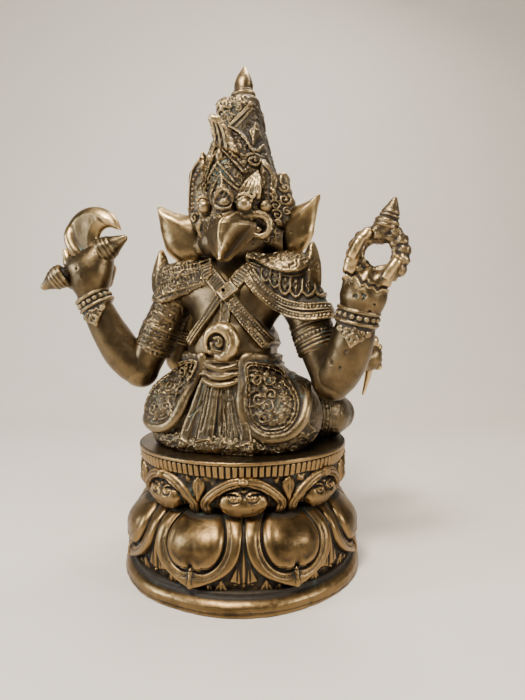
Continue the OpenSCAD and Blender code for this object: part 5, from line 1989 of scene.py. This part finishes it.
def bird_mask():
    """The bird's face: bulging eyes under fluted brows, a jewel between them and a cheek scroll."""
    clay = Clay((-34, -62, 238), (38, -8, 322), 0.5)
    clay.egg((1.5, -26, 269), (27, 17, 22))
    clay.egg((1, -32, 262), (21, 14, 15), soft=6)
    clay.rod((0, -29, 280), (-3.0, -28, 311), 19, 13.5, soft=8)
    clay.rod((24, -25, 256), (38, -20, 247), 9, 8, soft=6)
    clay.rod((-18, -25, 256), (-26, -22, 248), 9, 8, soft=6)
    board = Board((-36, 236), (40, 324), 0.28)
    for band in ([(-5.0, 319.5), (6.0, 309.0), (16.5, 297)],
                 [(-5, 320), (-12, 309), (-18, 298), (-21.5, 289)]):
        board.plate(strip(band, 4.0), 1.1).chain(band, 6.4, 1.6, 2.4)
    for line, half, tall in (([(-6, 304), (2.5, 295), (11, 285)], 1.1, 1.7),
                             ([(-8, 301), (0.8, 291.5), (8.5, 283.5)], 0.8, 1.2),
                             ([(-6, 304), (-12, 294), (-17, 284)], 1.1, 1.7),
                             ([(-1.5, 294), (4.5, 287.5), (10.5, 282)], 1.2, 1.9),
                             ([(-1.8, 294), (-7, 286), (-9.5, 280)], 1.0, 1.5)):
        board.line(curve(line), half, tall)
    board.set()
    board.foliage([(1, 307), (6, 302), (16, 293), (14, 287), (4, 297)], 3, 4.2, 0.8, 1.4, 121)
    board.foliage([(-14, 300), (-7, 296), (-12, 284), (-22, 284)], 3, 4.2, 0.8, 1.4, 122)
    for k in range(7):
        board.line([(-11 - 1.6 * k, 264 + 0.6 * k), (-13 - 2.0 * k, 257 - 0.5 * k), (-12 - 2.2 * k, 249)],
                   0.6, 0.9)
    board.foliage([(26, 262), (33, 262), (38, 250), (24, 245), (18, 247)], 6, 4.4, 0.8, 1.5, 123)
    board.scribble([(-26, 268), (-24, 305), (-10, 316), (10, 308), (24, 296), (30, 268), (38, 250), (20, 243),
                    (-24, 244)],
                   330, 4.5, 0.6, 1.1, 128)
    board.set()
    emboss(clay, board, from_rear(-20))

    leaf = curve([(-0.8, 293), (-3.5, 286), (-6.3, 279.5), (-5.5, 276.5), (0.8, 280.8), (7.2, 276),
                  (7.2, 279.5), (3, 285)], closed=True)
    plate = Board((-12, 264), (14, 296), 0.25)
    plate.plate(leaf, 2.2, 2.6)
    plate.line([(-0.6, 292), (0.4, 283)], 1.2, 1.2).set()
    emboss(clay, plate, from_rear(-30))
    c = clay.throw([(0.6, -95, 273.5)], (0, 1, 0))[0][0]
    rim = [c + (7.0 * math.cos(a), 0.2 + 0.6 * abs(math.cos(a)), 5.0 * math.sin(a))
           for a in np.linspace(0, 2 * math.pi, 25)]
    clay.tube(rim, 1.2, soft=0.4)
    clay.egg(c + (0, 0.8, 0), (4.6, 3.2, 3.2), soft=0.4)

    for eye, r, lid in (((15.0, -43.5, 271.5), 6.0, 1), ((-17.0, -40.5, 273.2), 5.2, -1)):
        eye = np.array(eye)
        socket = [eye + (-r * 1.15, 1.5, 1), eye + (-r * 0.4, 0.2, -r * 1.15), eye + (r * 0.8, 1.5, -r * 0.8)]
        clay.ball(eye + (0, -1, -1.0), r + 2.2, soft=2.5, carve=True)
        clay.ball(eye, r, soft=0.2)
        clay.tube(curve(socket, 8), 0.9, soft=0.5)
        for k in range(4):
            a = math.radians(30 + 40 * k)
            top = eye + (r * 1.02 * math.cos(a), -0.6, r * 1.02 * math.sin(a))
            clay.rod(top, top + (1.8 * lid * (0.4 + math.cos(a) * lid), 1.0, 3.4), 1.15, 1.0, soft=0.3)
        for h, size in ((1.6, 0.95), (4.6, 1.1)):
            fold = [eye + (-r * 0.95, -1.5, h), eye + (0, -r * 0.80, h + 2.2), eye + (r * 0.95, -1.0, h)]
            clay.tube(curve(fold, 8), size, soft=0.3)
    fluted(clay, (17.6, -41.5, 279.0), (22.6, -36, 297.0), (12.8, 3.5, -2.5), (1.2, -2.4, 0), 5, 2.0, 0.15)
    fluted(clay, (-18.5, -38.5, 281.5), (-17.5, -33, 297), (-8.0, 4, 0.5), (-3.6, -1.2, 0), 4, 1.8)

    hook = curve([(8, -45, 262.5), (14, -42.5, 264), (21, -39.5, 265.4), (28, -37, 264.2),
                  (31.5, -35.5, 258.8), (29.6, -35, 252.4), (24.4, -35.5, 250.2), (18.6, -36.5, 252.6),
                  (17.6, -36.5, 256.8), (21.0, -36, 258.6)], 36)
    width = np.interp(np.linspace(0, 1, 36), [0, 0.3, 0.7, 1], [3.2, 3.0, 2.2, 1.2])
    clay.ball((24.0, -39, 256.4), 6.4, soft=1, carve=True)
    clay.tube(hook, width, soft=0.3)
    clay.ball((23.2, -35.5, 254.9), 2.6, soft=0.3)
    clay.tube(curve([(-13, -42, 263), (-19, -39, 264), (-23.5, -36, 260), (-22.5, -33, 254)], 12), 2.4,
              soft=0.4)
    roughen(clay, 0.2, 1.5, 124)
    cast(clay, "bird_mask", RELIEF)


def bird_beak():
    """A hooked beak with a sharp ridge that turns aside at its root."""
    clay = Clay((-19, -62, 229), (21, -34, 270), 0.45)
    x, y, z = clay.grid()
    # z, and the x of the left edge, the ridge and the right edge there
    rows = np.array([(231.5, -0.8, 0.0, 0.8), (236, -4.0, 0.2, 3.4), (241.5, -7.4, 0.3, 7.5),
                     (247, -10.2, 0.4, 11.4), (252.5, -12.6, 0.5, 15.5), (257, -14.2, 0.8, 18.6),
                     (260, -15.0, 2.0, 19.0), (263, -13.8, 5.4, 17.0), (266, -9.5, 8.5, 13.5)])
    left, ridge, right = (np.interp(z, rows[:, 0], rows[:, i]) for i in (1, 2, 3))
    peak = np.interp(z, [231, 240, 250, 257, 262, 267], [-53.6, -55.6, -56.6, -55.8, -52.0, -46.0])
    base = np.interp(z, [231, 240, 250, 266], [-51.5, -47.0, -43.0, -39.0])

    def cheek(edge, side, swell):
        """The distance from the swollen face between an edge and the ridge."""
        nx, ny = (peak - base) * side, -(ridge - edge) * side
        flat = ((x - edge) * nx + (y - base) * ny) / (np.hypot(nx, ny) + 1e-6)
        return flat - swell * np.clip(1 - ((x - (edge + ridge) / 2) / (np.abs(ridge - edge) / 2 + 0.5)) ** 2,
                                      0, 1)
    sides = np.maximum(cheek(left, 1.0, 1.1), cheek(right, -1.0, 2.8))
    ends = np.maximum(y - base - 7, np.maximum(231.5 - z, z - 266.5))
    clay.d = (np.maximum(sides, ends) * 0.8).astype(np.float32)
    line = curve([(0.2, -55.2, 240), (0.4, -56.4, 249), (0.8, -55.5, 257), (2.8, -52.5, 261.2),
                  (8.0, -47.5, 264.5)], 16)
    clay.tube(line, 0.75, soft=0.8)
    for root, tip in (((-0.6, -52, 262), (-4.0, -48.5, 264.5)), ((2.0, -51, 263.5), (5.5, -47, 266.5)),
                      ((4.5, -50.5, 262), (11, -45.5, 264.8))):
        clay.rod(root, tip, 1.2, 0.8, soft=0.4)
    roughen(clay, 0.08, 4, 126)
    cast(clay, "bird_beak", SMOOTH, "bronze_smooth")


def mask_crest():
    """The fin over the mask: flutes that rise to a rounded nub, with a drop at its foot."""
    clay = Clay((-18, -62, 298), (12, -20, 340), FINE)
    outline = curve([(-9.0, 333), (-6.6, 335.4), (-2.6, 333.6), (1.0, 329.5), (4.6, 322), (8.6, 314),
                     (9.0, 309), (2, 312), (-4.5, 314), (-11, 306), (-13.5, 308), (-9.4, 316), (-8.8, 325)],
                    closed=True)
    _, y, z = clay.grid()
    back = np.interp(z, [300, 310, 320, 330, 337], [-42, -44, -46, -50, -51])
    front = np.interp(z, [300, 322, 337], [-22, -18, -36])
    slab = np.maximum(back - y, y - front)
    clay.d = (-soft_min(-slab, clay.depth(outline), 2.5) * 0.85).astype(np.float32)
    board = Board((-20, 296), (14, 342), 0.25)
    for k in range(3):
        flute = [(-7.0 + 2.6 * k, 331 - 1.4 * k), (-6.4 + 3.2 * k, 323), (-7 + 4.2 * k, 316 - k),
                 (-10 + 5.5 * k, 308)]
        board.line(curve(flute), 0.9, 1.3)
    board.scribble([(-13, 304), (-10, 332), (0, 332), (10, 312), (8, 306)], 60, 4, 0.7, 0.7, 129)
    board.set()
    emboss(clay, board, from_rear(-26))
    clay.rod((-7.2, -49.5, 332.6), (-3.4, -49, 331.6), 3.0, 2.8, soft=1.2)
    clay.egg((-4.4, -42.5, 309.0), (3.2, 3.4, 5.0), soft=0.5)
    roughen(clay, 0.14, 1.8, 127)
    cast(clay, "mask_crest", RELIEF)


def steel():
    """The plain steel of the hidden stud, washer and nut."""
    m = Nodes("plain_steel")
    shader = m.add("ShaderNodeBsdfPrincipled", in_Metallic=1.0)
    tint = m.mix(m.noise(60, 3), (0.36, 0.36, 0.37), (0.50, 0.50, 0.50))
    m.link(tint, shader.inputs["Base Color"])
    m.link(m.span(m.noise(240, 2), 0.3, 0.7, 0.28, 0.42), shader.inputs["Roughness"])
    return m.done(shader)


camera()
floor()
lights()
for job in (base_ring, lower_lotus_tier, upper_lotus_tier, seat_plate,
            torso, hips, thighs, apron, hip_panels, sash, knot, straps, buckle, collars, front_necklace,
            raised_arms, bands, left_hand, hook_handle, hook_blade, right_hand, rosary, front_arms, bowl,
            shins, elephant_head, trunk, tusks, ears, crown_body, crown_finial, crown_flanges,
            bird_mask, bird_beak, mask_crest):
    job()
# How much metal surrounds each vertex, for the painted shade of the bronze
painted_shade = painted_shade_map()
for shape in PIECES:
    make(shape, painted_shade)
metal = steel()
for name in ("figure_stud", "stud_washer", "stud_nut"):
    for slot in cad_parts[name].material_slots:
        slot.material = metal
